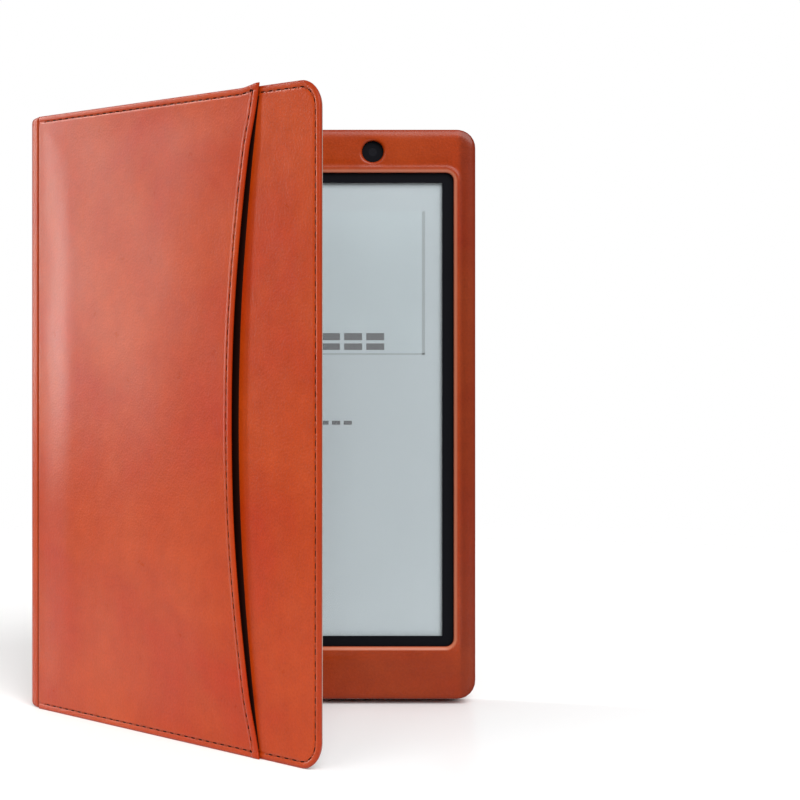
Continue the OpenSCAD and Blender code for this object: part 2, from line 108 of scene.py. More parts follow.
class Panel:
    """A flat panel in plan: the corner that it starts from, the way it runs and the way it faces."""

    def __init__(self, corner, along, out):
        self.corner, self.along, self.out = corner, along, out

    def place(self, w, n, z):
        """Point = corner + w times the run + n times the facing, at height z."""
        w, n, z = np.broadcast_arrays(w, n, z)
        plan = self.corner + w[..., None] * self.along + n[..., None] * self.out
        return np.concatenate([plan, z[..., None]], axis=-1)

    def read(self, node):
        """A node's vertices as w, n and z in this panel."""
        mesh = frame["nodes"][node].data
        points = np.empty(len(mesh.vertices) * 3)
        mesh.vertices.foreach_get("co", points)
        points = points.reshape(-1, 3) / MM
        plan = points[:, :2] - self.corner
        return np.stack([plan @ self.along, plan @ self.out, points[:, 2]], axis=1)

    def span(self, node):
        """Lowest and highest w, n and z of a node in this panel."""
        points = self.read(node)
        return points.min(axis=0), points.max(axis=0)


SPINE_OPEN = -joint("spine_fold")["range_deg"][0]
COVER_OPEN = -joint("cover_fold")["range_deg"][0]
BACK_CORNER = np.array(joint("spine_fold")["pos_m"][:2]) / MM
COVER_CORNER = np.array(joint("cover_fold")["pos_m"][:2]) / MM
BACK = Panel(BACK_CORNER, plan_direction(0), plan_direction(90))
COVER = Panel(
    COVER_CORNER,
    plan_direction(-SPINE_OPEN - COVER_OPEN),
    plan_direction(-SPINE_OPEN - COVER_OPEN - 90),
)
SPINE_FROM_BACK = Panel(BACK_CORNER, plan_direction(-90 - SPINE_OPEN), plan_direction(180 - SPINE_OPEN))
SPINE_FROM_COVER = Panel(COVER_CORNER, plan_direction(90 - SPINE_OPEN), plan_direction(180 - SPINE_OPEN))
SPINE_WIDTH = float(np.linalg.norm(BACK_CORNER - COVER_CORNER))


# ---- Settings ------------------------------------------------------------------------------


def length(name, default, description):
    """A length property, given in millimetres and kept in metres."""
    return FloatProperty(
        name=name, default=default * MM, description=description, unit="LENGTH", precision=5
    )


def colour(name, default, description):
    """A linear colour property."""
    return FloatVectorProperty(
        name=name, default=default, description=description, subtype="COLOR", size=3, min=0, max=1
    )


class FolioSizes(bpy.types.PropertyGroup):
    """Sizes of the leather work."""

    bend_radius: length("Bend radius", 3.2, "Radius of the leather's middle where it goes round a fold")
    end_dip: length("End dip", 1.3, "How far the top and bottom edges draw in at a fold")
    rim_roll: length("Rim roll", 1.3, "Width of the rounded rim of a panel")
    # Painted shadow: a dark strip that stands for the shade in the gap under the pocket's mouth.
    pocket_gap_shadow: length("Pocket facing", 0.85, "How far the dark facing shows past the pocket's mouth")
    stitch_pitch: length("Stitch pitch", 3.6, "Distance from one stitch to the next")
    stitch_length: length("Stitch length", 1.9, "Seen length of one stitch")
    stitch_width: length("Stitch width", 0.66, "Width of the thread")
    stitch_inset: length("Stitch inset", 2.0, "Distance from an edge to its row of stitches")
    channel_depth: length("Channel depth", 0.2, "Depth of the channel pressed along a row of stitches")
    pocket_lift: length("Pocket lift", 1.75, "How far the pocket stands off the cover at its mouth's middle")
    pocket_corner_rise: length("Pocket corner rise", 1.0, "Height of the pocket's top corner off the cover")
    lip_roll: length("Lip roll", 1.5, "Width of the rolled leather round the window")
    frame_roll: length("Frame roll", 3.2, "Width of the rounded outer edge of the frame")


class FolioColours(bpy.types.PropertyGroup):
    """Linear colours of the finishes."""

    leather_deep: colour("Deep leather", (0.335, 0.025, 0.002), "Darkest blotches of the leather")
    leather_mid: colour("Middle leather", (0.34, 0.034, 0.002), "Main colour of the leather")
    leather_pale: colour("Pale leather", (0.37, 0.044, 0.004), "Palest blotches of the leather")
    leather_rim: colour("Leather rim", (0.20, 0.014, 0.002), "Leather along rims and stitch channels")
    # Painted shade: near-black leather blended in where the pocket, the seam's channel and the frame's side
    # bands and foot are shaded.
    leather_painted_shade: colour("Raw leather", (0.016, 0.004, 0.003), "Unlit raw leather in the pocket and the seam")
    # Painted highlight: pale leather on the window's lip, standing in for light that catches the rolled
    # edge.
    leather_painted_highlight: colour("Worn leather", (0.62, 0.22, 0.13), "Rubbed leather on the lip of the window")
    thread: colour("Thread", (0.24, 0.032, 0.008), "Sewing thread")
    # Painted shade: near-black for the inside of the stitch holes and the gap under the pocket's mouth.
    needle_hole: colour("Needle hole", (0.012, 0.003, 0.002), "Inside of the stitch holes")
    lining: colour("Lining", (0.15, 0.06, 0.036), "Brushed inner lining")
    page: colour("Page", (0.29, 0.335, 0.352), "Reflective display")
    ink: colour("Ink", (0.012, 0.013, 0.016), "Dark marks on the page")
    bezel: colour("Bezel", (0.003, 0.003, 0.0045), "Black border of the reader")
    floor: colour("Floor", (0.96, 0.96, 0.96), "Plain floor")


def size(name):
    """A leather size in millimetres."""
    return getattr(bpy.context.scene.folio_sizes, name) / MM


def shade(name):
    """A finish colour with an alpha of 1."""
    return (*getattr(bpy.context.scene.folio_colours, name), 1.0)


# ---- Surfaces ------------------------------------------------------------------------------


def smooth(x, low, high):
    """Rises from 0 at low to 1 at high along 3t² − 2t³."""
    t = np.clip((x - low) / (high - low), 0, 1)
    return t * t * (3 - 2 * t)


def roll(depth, width):
    """Quarter round: the square root of 1 − (1 − depth over width)², and 1 past the width."""
    t = 1 - np.clip(depth / width, 0, 1)
    return np.sqrt(1 - t * t)


def dent(x, centre, half_width):
    """Bell curve: e to the power of minus the squared distance from the centre over the half width."""
    return np.exp(-(((x - centre) / half_width) ** 2))


def stations(low, high, step, fine_low=(), fine_high=()):
    """Places from low to high: given offsets close to each end and equal steps between them."""
    near = low + np.array(fine_low, dtype=float)
    far = high - np.array(fine_high, dtype=float)[::-1]
    first = near[-1] if len(near) else low
    last = far[0] if len(far) else high
    count = max(2, int(round((last - first) / step)) + 1)
    middle = np.linspace(first, last, count)
    return np.unique(np.concatenate([near, middle, far]).round(5))


EDGE_STEPS = (
    0, 0.05, 0.12, 0.22, 0.35, 0.5, 0.7, 0.9, 1.1, 1.3, 1.5, 1.65, 1.8, 1.9, 2, 2.1, 2.2, 2.35, 2.5, 2.7, 3,
    3.4, 3.9, 4.5, 5.2, 6, 7, 8.2, 9.5,
)


def outline_depth(w, z, right, low, high, radius):
    """Depth inside a rectangle without a left side, with round right corners: the radius less the
    distance past the corner centres, or less the nearer of the two straight distances."""
    over_w = w - (right - radius)
    over_z = np.abs(z - (low + high) / 2) - ((high - low) / 2 - radius)
    outside = np.hypot(np.maximum(over_w, 0), np.maximum(over_z, 0))
    return radius - outside - np.minimum(np.maximum(over_w, over_z), 0)


def box_depth(x, z, low, high, radius):
    """Depth inside a rounded rectangle, below 0 outside it: minus its signed distance."""
    over_x = np.abs(x - (low[0] + high[0]) / 2) - ((high[0] - low[0]) / 2 - radius)
    over_z = np.abs(z - (low[1] + high[1]) / 2) - ((high[1] - low[1]) / 2 - radius)
    outside = np.hypot(np.maximum(over_x, 0), np.maximum(over_z, 0))
    return radius - outside - np.minimum(np.maximum(over_x, over_z), 0)


def hand_worked(a, b):
    """Slow waves of hand-laid leather: two products of sines of the two surface lengths."""
    broad = np.sin(a / 19 + 1.3) * np.sin(b / 31 + 0.7)
    return broad + 0.5 * np.sin(a / 7.3 + b / 23.0) * np.sin(b / 12.5 + 2.1)


def as_points(w, n, z, panel):
    """A grid of w, n and z on a panel as a plain list of points."""
    return panel.place(w, n, z).reshape(-1, 3)


def as_uv(first, second, shift=0.0):
    """Two surface lengths as UV. The shift gives each piece its own stretch of leather."""
    return np.stack([first + shift, second], axis=-1).reshape(-1, 2)


def grid_quads(rows, columns, keep=None):
    """Corner numbers of a grid's cells, less the cells left out by keep."""
    corner = np.arange(rows * columns).reshape(rows, columns)
    quads = np.stack([corner[:-1, :-1], corner[1:, :-1], corner[1:, 1:], corner[:-1, 1:]], axis=-1)
    return quads.reshape(-1, 4) if keep is None else quads[keep]


def add_piece(name, points, faces, finish, smooth_faces=True, uv=None, values=None, weld=True):
    """Puts points (mm) and faces into a new object at the origin, welds seams and turns faces outwards."""
    mesh = bpy.data.meshes.new(name)
    mesh.from_pydata((np.asarray(points).reshape(-1, 3) * MM).tolist(), [], np.asarray(faces).tolist())
    if uv is not None:
        layer = mesh.uv_layers.new(name="UVMap")
        loops = np.empty(len(mesh.loops), dtype=np.int32)
        mesh.loops.foreach_get("vertex_index", loops)
        layer.data.foreach_set("uv", (np.asarray(uv).reshape(-1, 2)[loops] * MM).ravel())
    for key, value in (values or {}).items():
        layer = mesh.attributes.new(key, "FLOAT", "POINT")
        layer.data.foreach_set("value", np.asarray(value, dtype=float).ravel())
    if weld:
        shell = bmesh.new()
        shell.from_mesh(mesh)
        bmesh.ops.remove_doubles(shell, verts=shell.verts, dist=2e-6)
        bmesh.ops.recalc_face_normals(shell, faces=shell.faces)
        if shell.calc_volume(signed=True) < 0:
            bmesh.ops.reverse_faces(shell, faces=shell.faces)
        shell.to_mesh(mesh)
        shell.free()
    mesh.polygons.foreach_set("use_smooth", [smooth_faces] * len(mesh.polygons))
    mesh.update()
    piece = bpy.data.objects.new(name, mesh)
    bpy.context.scene.collection.objects.link(piece)
    piece.data.materials.append(finish)
    return piece


def shell_piece(name, front, back, quads, finish, uv, values=None, open_edge=None):
    """A closed sheet: a front and a back grid that meet at their rims, and a strip along an open edge."""
    count = len(front)
    faces = [quads, quads[:, ::-1] + count]
    if open_edge is not None:
        edge = np.asarray(open_edge)
        faces.append(np.stack([edge[:-1], edge[1:], edge[1:] + count, edge[:-1] + count], axis=1))
    doubled = {key: np.concatenate([value.ravel()] * 2) for key, value in (values or {}).items()}
    points, both_uv = np.concatenate([front, back]), np.concatenate([uv, uv])
    return add_piece(name, points, np.concatenate(faces), finish, uv=both_uv, values=doubled)


def repeat_shape(name, shape, quads, centres, axes, finish):
    """One small shape set down many times: point = centre + shape times the place's three axes."""
    points = centres[:, None, :] + np.einsum("mk,nkd->nmd", shape, axes)
    step = np.arange(len(centres))[:, None, None] * len(shape)
    return add_piece(name, points, (quads[None] + step).reshape(-1, 4), finish, weld=False)


# ---- Finishes ------------------------------------------------------------------------------


class Finish:
    """One material made of nodes, with a few short ways to add them."""

    def __init__(self, name, **sockets):
        self.material = bpy.data.materials.new(name)
        self.material.use_nodes = True
        self.tree = self.material.node_tree
        self.shader = self.tree.nodes["Principled BSDF"]
        self.height = None
        for key, value in sockets.items():
            self.shader.inputs[key.replace("_", " ")].default_value = value

    def put(self, socket, value):
        """Links a socket to another, or gives it a plain value."""
        if isinstance(value, bpy.types.NodeSocket):
            self.tree.links.new(value, socket)
        else:
            socket.default_value = value

    def add(self, kind, inputs=(), **settings):
        """Adds a node with settings and inputs by name or number."""
        node = self.tree.nodes.new("ShaderNode" + kind)
        for key, value in settings.items():
            setattr(node, key, value)
        for key, value in dict(inputs).items():
            self.put(node.inputs[key], value)
        return node

    def coordinates(self, kind="Object", stretch=(1, 1, 1), turn=0.0):
        """Surface coordinates in metres, turned about the last axis and stretched along each."""
        source = self.add("TexCoord").outputs[kind]
        return self.add("Mapping", {"Vector": source, "Scale": stretch, "Rotation": (0, 0, turn)}).outputs[0]

    def noise(self, at, scale, detail=3.0, roughness=0.5, distortion=0.0):
        """Cloudy noise with a given number of features per metre."""
        inputs = {"Vector": at, "Scale": scale, "Detail": detail, "Roughness": roughness}
        return self.add("TexNoise", {**inputs, "Distortion": distortion}).outputs["Fac"]

    def cells(self, at, scale, feature="F1"):
        """Distance inside cells with a given number per metre."""
        return self.add("TexVoronoi", {"Vector": at, "Scale": scale}, feature=feature).outputs["Distance"]

    def ramp(self, value, *stops):
        """Colour or grey by value, through (place, level or colour) stops."""
        node = self.add("ValToRGB", {"Fac": value})
        while len(node.color_ramp.elements) < len(stops):
            node.color_ramp.elements.new(0.5)
        for element, (place, level) in zip(node.color_ramp.elements, stops):
            element.position = place
            element.color = level if isinstance(level, tuple) else (level, level, level, 1)
        return node.outputs["Color"]

    def blend(self, amount, first, second, mode="MIX"):
        """Mixes two colours."""
        node = self.add("Mix", {0: amount, 6: first, 7: second}, data_type="RGBA", blend_type=mode)
        return node.outputs[2]

    def sum(self, operation, first, second):
        """One step of arithmetic on two values."""
        return self.add("Math", {0: first, 1: second}, operation=operation).outputs[0]

    def value(self, name):
        """A value kept on the piece's points."""
        return self.add("Attribute", attribute_name=name).outputs["Fac"]

    def relief(self, height, distance, strength=1.0):
        """Adds a bump of a given depth in metres on top of earlier ones."""
        inputs = {"Height": height, "Distance": distance, "Strength": strength}
        if self.height is not None:
            inputs["Normal"] = self.height
        self.height = self.add("Bump", inputs).outputs[0]
        self.tree.links.new(self.height, self.shader.inputs["Normal"])

    def set(self, socket, value):
        """Drives one socket of the shader."""
        self.put(self.shader.inputs[socket], value)


FINISHES = {}


def finish(name):
    """The finished material of a name, made once."""
    if name not in FINISHES:
        FINISHES[name] = MAKERS[name]().material
    return FINISHES[name]


def leather(name, base=1.0):
    """Coated leather: slow blotches, finer mottling, pores, upright creases, darker rims, and the places of
    painted shade and painted highlight kept on the piece's points."""
    made = Finish(name, Specular_IOR_Level=0.04, Coat_Weight=0.28, Coat_Roughness=0.22)
    at = made.coordinates("UV")
    blotch = made.noise(at, 24, 3, 0.55, 0.4)
    body = made.ramp(
        blotch, (0.32, shade("leather_deep")), (0.5, shade("leather_mid")), (0.68, shade("leather_pale"))
    )
    mottle = made.noise(at, 160, 5, 0.62)
    body = made.blend(0.35, body, made.ramp(mottle, (0.3, 0.62), (0.7, 1.0)), "MULTIPLY")
    speck = made.noise(at, 1300, 2, 0.6)
    body = made.blend(0.5, body, made.ramp(speck, (0.3, 0.7), (0.62, 1.0)), "MULTIPLY")
    body = made.blend(made.sum("MULTIPLY", made.value("rim"), 0.6), body, shade("leather_rim"))
    # Painted shade: blends towards near-black leather where the piece's points carry it.
    body = made.blend(made.value("painted_shade"), body, shade("leather_painted_shade"))
    # Painted highlight on the window's lip.
    body = made.blend(made.sum("MULTIPLY", made.value("painted_highlight"), 0.7), body, shade("leather_painted_highlight"))
    # A base below 1 makes a darker copy of the leather: painted shade.
    made.set("Base Color", made.blend(1.0, body, (base, base, base, 1), "MULTIPLY"))
    made.set("Roughness", made.ramp(mottle, (0.25, 0.26), (0.75, 0.36)))
    made.relief(made.noise(at, 70, 2), 0.0009, 0.35)
    crease = made.noise(made.coordinates("UV", (1.0, 0.42, 1.0), 0.35), 520, 3, 0.6, 0.5)
    patches = made.ramp(made.noise(at, 30, 1), (0.4, 0.2), (0.7, 1.0))
    made.relief(made.sum("MULTIPLY", crease, patches), 0.0003, 0.3)
    made.relief(made.cells(at, 1500), 0.00012, 0.35)
    made.relief(speck, 0.00008, 0.5)
    return made


def fibre(name, tint, scale=1800, rough=0.85):
    """Brushed cloth or board: a fine uneven nap, raised where it is pale, with soft wear."""
    made = Finish(name, Roughness=rough, Sheen_Weight=0.3, Sheen_Roughness=0.5)
    at = made.coordinates()
    nap = made.noise(at, scale, 4, 0.7, 0.5)
    wear = made.noise(at, 45, 3)
    body = made.blend(0.6, tint, made.ramp(nap, (0.25, 0.45), (0.75, 1.0)), "MULTIPLY")
    made.set("Base Color", made.blend(0.5, body, made.ramp(wear, (0.3, 0.7), (0.7, 1.0)), "MULTIPLY"))
    made.relief(nap, 0.00012, 0.5)
    return made


def moulded(name, tint, rough=0.45, grain=2600, depth=0.00004, **sockets):
    """Moulded plastic, film or foil: fine grain and faint uneven gloss."""
    made = Finish(name, **sockets)
    at = made.coordinates()
    speck = made.noise(at, grain, 2)
    cloud = made.noise(at, 35, 3)
    made.set("Base Color", made.blend(0.3, tint, made.ramp(cloud, (0.3, 0.75), (0.7, 1.0)), "MULTIPLY"))
    made.set("Roughness", made.ramp(cloud, (0.3, rough - 0.05), (0.7, rough + 0.07)))
    made.relief(speck, depth, 0.4)
    return made


def metal(name, tint, rough=0.35, stretch=(1, 1, 12)):
    """Plated or cast metal: brush marks along one axis and faint stains."""
    made = Finish(name, Metallic=1.0)
    marks = made.noise(made.coordinates("Object", stretch), 900, 3, 0.6)
    cloud = made.noise(made.coordinates(), 120, 3)
    made.set("Base Color", made.blend(0.4, tint, made.ramp(cloud, (0.3, 0.72), (0.7, 1.0)), "MULTIPLY"))
    made.set("Roughness", made.ramp(marks, (0.3, rough - 0.08), (0.7, rough + 0.12)))
    made.relief(marks, 0.00003, 0.4)
    return made


def circuit_board():
    """Green solder mask over copper tracks: paler square rings about scattered points."""
    made = Finish("circuit_board", Roughness=0.35)
    at = made.coordinates()
    tracks = made.add(
        "TexVoronoi", {"Vector": at, "Scale": 260.0, "Randomness": 0.7}, feature="F1", distance="CHEBYCHEV"
    ).outputs["Distance"]
    line = made.ramp(tracks, (0.3, 0.0), (0.34, 1.0), (0.4, 1.0), (0.44, 0.0))
    made.set("Base Color", made.blend(line, (0.008, 0.06, 0.026, 1), (0.03, 0.17, 0.07, 1)))
    made.relief(line, 0.00003, 0.5)
    return made


def page():
    """Paper-like display: fine particle speckle and a very slow cloud, with little shine."""
    made = Finish("page", Roughness=0.62, Specular_IOR_Level=0.3)
    at = made.coordinates()
    speck = made.ramp(made.noise(at, 3800, 1), (0.3, 0.93), (0.7, 1.0))
    cloud = made.ramp(made.noise(at, 14, 2), (0.3, 0.94), (0.7, 1.0))
    specked = made.blend(1.0, shade("page"), speck, "MULTIPLY")
    made.set("Base Color", made.blend(1.0, specked, cloud, "MULTIPLY"))
    made.relief(made.noise(at, 3000, 2), 0.000004, 0.2)
    return made


def clear_film():
    """Matte clear film: almost no colour of its own, with a soft gloss."""
    return moulded("clear_film", (0.8, 0.85, 0.88, 1), 0.5, 3000, 0.000001, Alpha=0.06)


def twisted_thread():
    """Sewing thread: rough plies as noise of about a third of a millimetre, raised where it is pale."""
    made = Finish("twisted_thread", Roughness=0.6, Specular_IOR_Level=0.1)
    at = made.coordinates()
    ply = made.noise(at, 3200, 2, 0.6)
    light = made.ramp(ply, (0.3, 0.55), (0.7, 1.0))
    made.set("Base Color", made.blend(0.7, shade("thread"), light, "MULTIPLY"))
    made.relief(ply, 0.0001, 0.6)
    return made


MAKERS = {
    "leather_skin": lambda: leather("leather_skin"),
    # Painted shade: the frame's leather is the same leather at 0.74 of its brightness.
    "leather_frame": lambda: leather("leather_frame", 0.74),
    "thread": twisted_thread,
    # Painted shade: near-black finish of the stitch holes and the pocket's mouth.
    "needle_hole": lambda: moulded("needle_hole", shade("needle_hole"), 0.8, Specular_IOR_Level=0.02),
    "lining": lambda: fibre("lining", shade("lining")),
    "stiffener": lambda: fibre("stiffener", (0.36, 0.33, 0.28, 1), 1100),
    "magnet": lambda: metal("magnet", (0.6, 0.6, 0.62, 1)),
    "bezel": lambda: moulded("bezel", shade("bezel"), 0.42, Specular_IOR_Level=0.04),
    "clear_film": clear_film,
    "led_strip": lambda: moulded("led_strip", (0.8, 0.72, 0.45, 1), 0.4),
    "screen": page,
    "page_ink": lambda: moulded("page_ink", shade("ink"), 0.6),
    "page_grey": lambda: moulded("page_grey", (0.17, 0.2, 0.21, 1), 0.6),
    "page_tint": lambda: moulded("page_tint", (0.272, 0.324, 0.341, 1), 0.6),
    "panel_glass": lambda: moulded("panel_glass", (0.1, 0.14, 0.13, 1), 0.25),
    "adhesive": lambda: fibre("adhesive", (0.02, 0.02, 0.02, 1), 2500),
    "magnesium": lambda: metal("magnesium", (0.42, 0.43, 0.44, 1), 0.5, (1, 1, 1)),
    "circuit_board": circuit_board,
    "plated_steel": lambda: metal("plated_steel", (0.62, 0.62, 0.63, 1), 0.3),
    "chip": lambda: moulded("chip", (0.02, 0.02, 0.022, 1), 0.55),
    "battery_foil": lambda: moulded("battery_foil", (0.6, 0.61, 0.62, 1), 0.3, 900, 0.0001, Metallic=0.9),
    "lead": lambda: moulded("lead", (0.32, 0.02, 0.025, 1), 0.4),
    "ribbon": lambda: moulded("ribbon", (0.42, 0.16, 0.03, 1), 0.3),
    "lens": lambda: moulded("lens", (0.004, 0.004, 0.006, 1), 0.2, Specular_IOR_Level=0.12),
    "copper": lambda: metal("copper", (0.65, 0.3, 0.14, 1), 0.3),
    "screw_steel": lambda: metal("screw_steel", (0.55, 0.55, 0.56, 1), 0.28),
    "shell": lambda: moulded("shell", (0.013, 0.013, 0.016, 1), 0.5, 1700, 0.00008),
}


# ---- Cover and back ------------------------------------------------------------------------


def round_fold(s, flat, leg, radius):
    """Path of a skin from a flat panel round its fold onto the spine: straight while s is past the
    tangent length, then an arc about a centre inside the fold, then straight along the other leg.
    Gives the plan point, the outward direction and the distance from the fold."""
    turn = math.acos(float(flat.out @ leg.out))
    sign = math.copysign(1, flat.out[0] * leg.out[1] - flat.out[1] * leg.out[0])
    tangent = radius * math.tan(turn / 2)
    arc_end = tangent - radius * turn
    centre = flat.corner + tangent * flat.along - radius * flat.out
    angle = sign * np.clip((tangent - s) / radius, 0, turn)
    cos, sin = np.cos(angle)[..., None], np.sin(angle)[..., None]
    out = flat.out * cos + np.array([-flat.out[1], flat.out[0]]) * sin
    from_fold = np.where(s >= tangent, s, np.where(s < arc_end, tangent + arc_end - s, tangent))
    on_flat = flat.corner + s[..., None] * flat.along
    on_leg = flat.corner + from_fold[..., None] * leg.along
    point = np.where((s >= tangent)[..., None], on_flat, centre + radius * out)
    point = np.where((s < arc_end)[..., None], on_leg, point)
    return point, out, from_fold


def fold_start(flat, leg, radius):
    """Path length at the middle of the spine: half the spine, less what the arc saves."""
    turn = math.acos(float(flat.out @ leg.out))
    return 2 * radius * math.tan(turn / 2) - radius * turn - SPINE_WIDTH / 2


def panel_skin(name, flat, leg, width, height, radius, front_relief, painted_shade_of, body, other):
    """Leather of one outer panel and half the spine. The front lies half a skin out, the back lies
    behind the board, and both close in a quarter round at the rim."""
    bend = size("bend_radius")
    start = fold_start(flat, leg, bend)
    past_fold = 8
    first = np.linspace(start, past_fold, 44)
    last = stations(past_fold, width, 2.4, (), EDGE_STEPS)
    s = np.unique(np.concatenate([first, last]).round(5))
    v = stations(0, height, 2.4, EDGE_STEPS, EDGE_STEPS) / height
    s, v = np.meshgrid(s, v, indexing="ij")
    dip = size("end_dip") * smooth(-s, -4.6, 2.5)
    corner = np.clip(s - (width - radius), 0, radius)
    low = dip + radius - np.sqrt(radius**2 - corner**2)
    z = low + (height - 2 * low) * v
    depth = outline_depth(s, z, width, dip, height - dip, radius)
    depth = np.where(np.isclose(v, 0) | np.isclose(v, 1) | np.isclose(s, width), 0, np.maximum(depth, 0))
    point, out, from_fold = round_fold(s, flat, leg, bend)
    rim_end = 2.6
    half = HALF_SKIN + BOARD / 2 * smooth(from_fold, 2.3, 3.9)
    middle = (HALF_SKIN - half) * smooth(depth, -0.4, rim_end) + 0.1 * (1 - smooth(depth, 0, 1.2))
    relief = front_relief(s, z, depth) * roll(depth, 1.0)
    rounded = roll(depth, size("rim_roll"))
    front_n = middle + half * rounded + relief
    front_n = np.where(depth < rim_end, np.minimum(front_n, HALF_SKIN * rounded + relief), front_n)
    back_n = middle - (middle + 2 * half - HALF_SKIN) * roll(depth, 2.2)
    back_n = np.where(depth <= 0, front_n, np.minimum(back_n, front_n - 0.01))
    front = np.concatenate([point + out * front_n[..., None], z[..., None]], axis=-1).reshape(-1, 3)
    back = np.concatenate([point + out * back_n[..., None], z[..., None]], axis=-1).reshape(-1, 3)
    # Painted shade on the skin: inside the pocket and along the seam on the cover, none on the back.
    values = {"rim": 1 - smooth(depth, 0.25, 1.25), "painted_shade": painted_shade_of(s, z)}
    edge = np.arange(s.shape[1])
    skin = finish("leather_skin")
    piece = shell_piece(name, front, back, grid_quads(*s.shape), skin, as_uv(s, z), values, edge)
    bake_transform(piece)
    return piece


def cover_size():
    """Width, height, corner radius of the cover and the place of its upright seam."""
    width, _, height = COVER.span("cover_leather")[1]
    points = COVER.read("cover_leather")
    straight = points[points[:, 0] > width - 0.01]
    seam = COVER.span("spine_seam_thread")
    return width, height, float(straight[:, 2].min()), float(seam[0][0] + seam[1][0]) / 2


def cover_relief(s, z, depth):
    """Front of the cover: a channel along the stitch row and a deep one at the upright seam."""
    seam = cover_size()[3]
    row = size("channel_depth") * dent(depth, size("stitch_inset"), 0.42) * smooth(s, 60, 80)
    return 0.06 * hand_worked(s, z) * smooth(s, 6, 14) - row - 0.42 * dent(s, seam, 0.6)


def back_relief(s, z, depth):
    """Front of the back panel: slow waves, and a light channel near the edge."""
    row = 0.15 * dent(depth, size("stitch_inset"), 0.4) * smooth(s, 3, 5)
    return 0.06 * hand_worked(s + 40, z) * smooth(s, 4, 12) - row


def cover_painted_shade(s, z):
    """Painted shade on the cover's leather: full inside the pocket, which shades it, up to just short of its
    mouth, and nearly full along the seam's channel."""
    left, mouth = pocket_outline()[:2]
    seam = cover_size()[3]
    inside = (1 - smooth(s, mouth(z) - 1.5, mouth(z) - 0.5)) * smooth(s, left - 0.4, left + 0.2)
    return np.maximum(inside, 0.85 * dent(s, seam + 0.2, 0.75))


def no_painted_shade(s, z):
    """No painted shade anywhere."""
    return np.zeros_like(s)


def pocket_outline():
    """Left edge, the mouth's w as a function of z, the height, and the radius of the mouth: the arc
    through its ends and its middle."""
    points = COVER.read("pocket_panel")
    left, ends = points[:, 0].min(), points[:, 0].max()
    height = points[:, 2].max()
    near_middle = points[np.abs(points[:, 2] - height / 2) < height / 12]
    middle = near_middle[near_middle[:, 0] > (left + ends) / 2][:, 0].min()
    sag = ends - middle
    radius = ((height / 2) ** 2 + sag**2) / (2 * sag)

    def mouth(z):
        from_middle = np.clip(z, 0, height) - height / 2
        return middle + radius - np.sqrt(radius**2 - from_middle**2)

    return left, mouth, height, radius


def pocket_surface(w, z):
    """Front and back of the pocket sheet at w and z. It lies on the cover along its sewn edges, and
    stands off by the lift times three smooth rises: away from the sewn edges, towards the mouth and
    towards the middle height."""
    left, mouth, height, radius = pocket_outline()
    from_mouth = (mouth(z) - w) * np.sqrt(1 - ((z - height / 2) / radius) ** 2)
    sewn = np.minimum(np.minimum(z, height - z), w - left)
    ends = np.minimum(z, height - z)
    towards_mouth = 0.25 + 0.75 * smooth(w, 30, 112)
    lift = size("pocket_lift") * smooth(sewn, 2.6, 20) * towards_mouth * (0.55 + 0.45 * smooth(ends, 10, 80))
    hem = 0.3 * (1 - smooth(from_mouth, 2.3, 3.1))
    depth = np.minimum(sewn, from_mouth)
    row = dent(from_mouth, size("stitch_inset"), 0.4) * smooth(ends, 1.6, 2.4)
    row = np.maximum(row, dent(ends, size("stitch_inset"), 0.42))
    half = 0.45 + hem / 2
    base = 0.42 + half + lift
    waves = 0.09 * hand_worked(w + 15, z) * smooth(sewn, 3, 12)
    front = base + half * roll(depth, 0.8) + (waves - size("channel_depth") * row) * roll(depth, 1.0)
    back = base - half * roll(depth, 0.6) + waves * roll(depth, 1.0)
    return front, back, depth


def pocket_rise(w, z):
    """How far the sheet's top corner stands up: a smooth rise over its last part in w and z."""
    mouth, height = pocket_outline()[1:3]
    return size("pocket_corner_rise") * smooth(w, mouth(z) - 9, mouth(z)) * smooth(z, height - 12, height)


def build_pocket():
    """The outer pocket, from its left edge to the curved mouth."""
    left, mouth, height = pocket_outline()[:3]
    u = stations(0, 100, 1.9, EDGE_STEPS, EDGE_STEPS) / 100
    z = stations(0, height, 2.2, EDGE_STEPS, EDGE_STEPS)
    u, z = np.meshgrid(u, z, indexing="ij")
    w = left + (mouth(z) - left) * u
    front_n, back_n, depth = pocket_surface(w, z)
    rim_line = np.isclose(u, 0) | np.isclose(u, 1) | np.isclose(z, 0) | np.isclose(z, height)
    middle = (front_n + back_n) / 2
    front_n, back_n = np.where(rim_line, middle, front_n), np.where(rim_line, middle, back_n)
    lifted = z + pocket_rise(w, z)
    front, back = (as_points(w, n, lifted, COVER) for n in (front_n, back_n))
    rim = {"rim": 0.8 * (1 - smooth(depth, 0.2, 0.7))}
    skin = finish("leather_skin")
    piece = shell_piece("outer_pocket", front, back, grid_quads(*w.shape), skin, as_uv(w, z, 300), rim)
    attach(piece, "cover")
    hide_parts("pocket_panel")


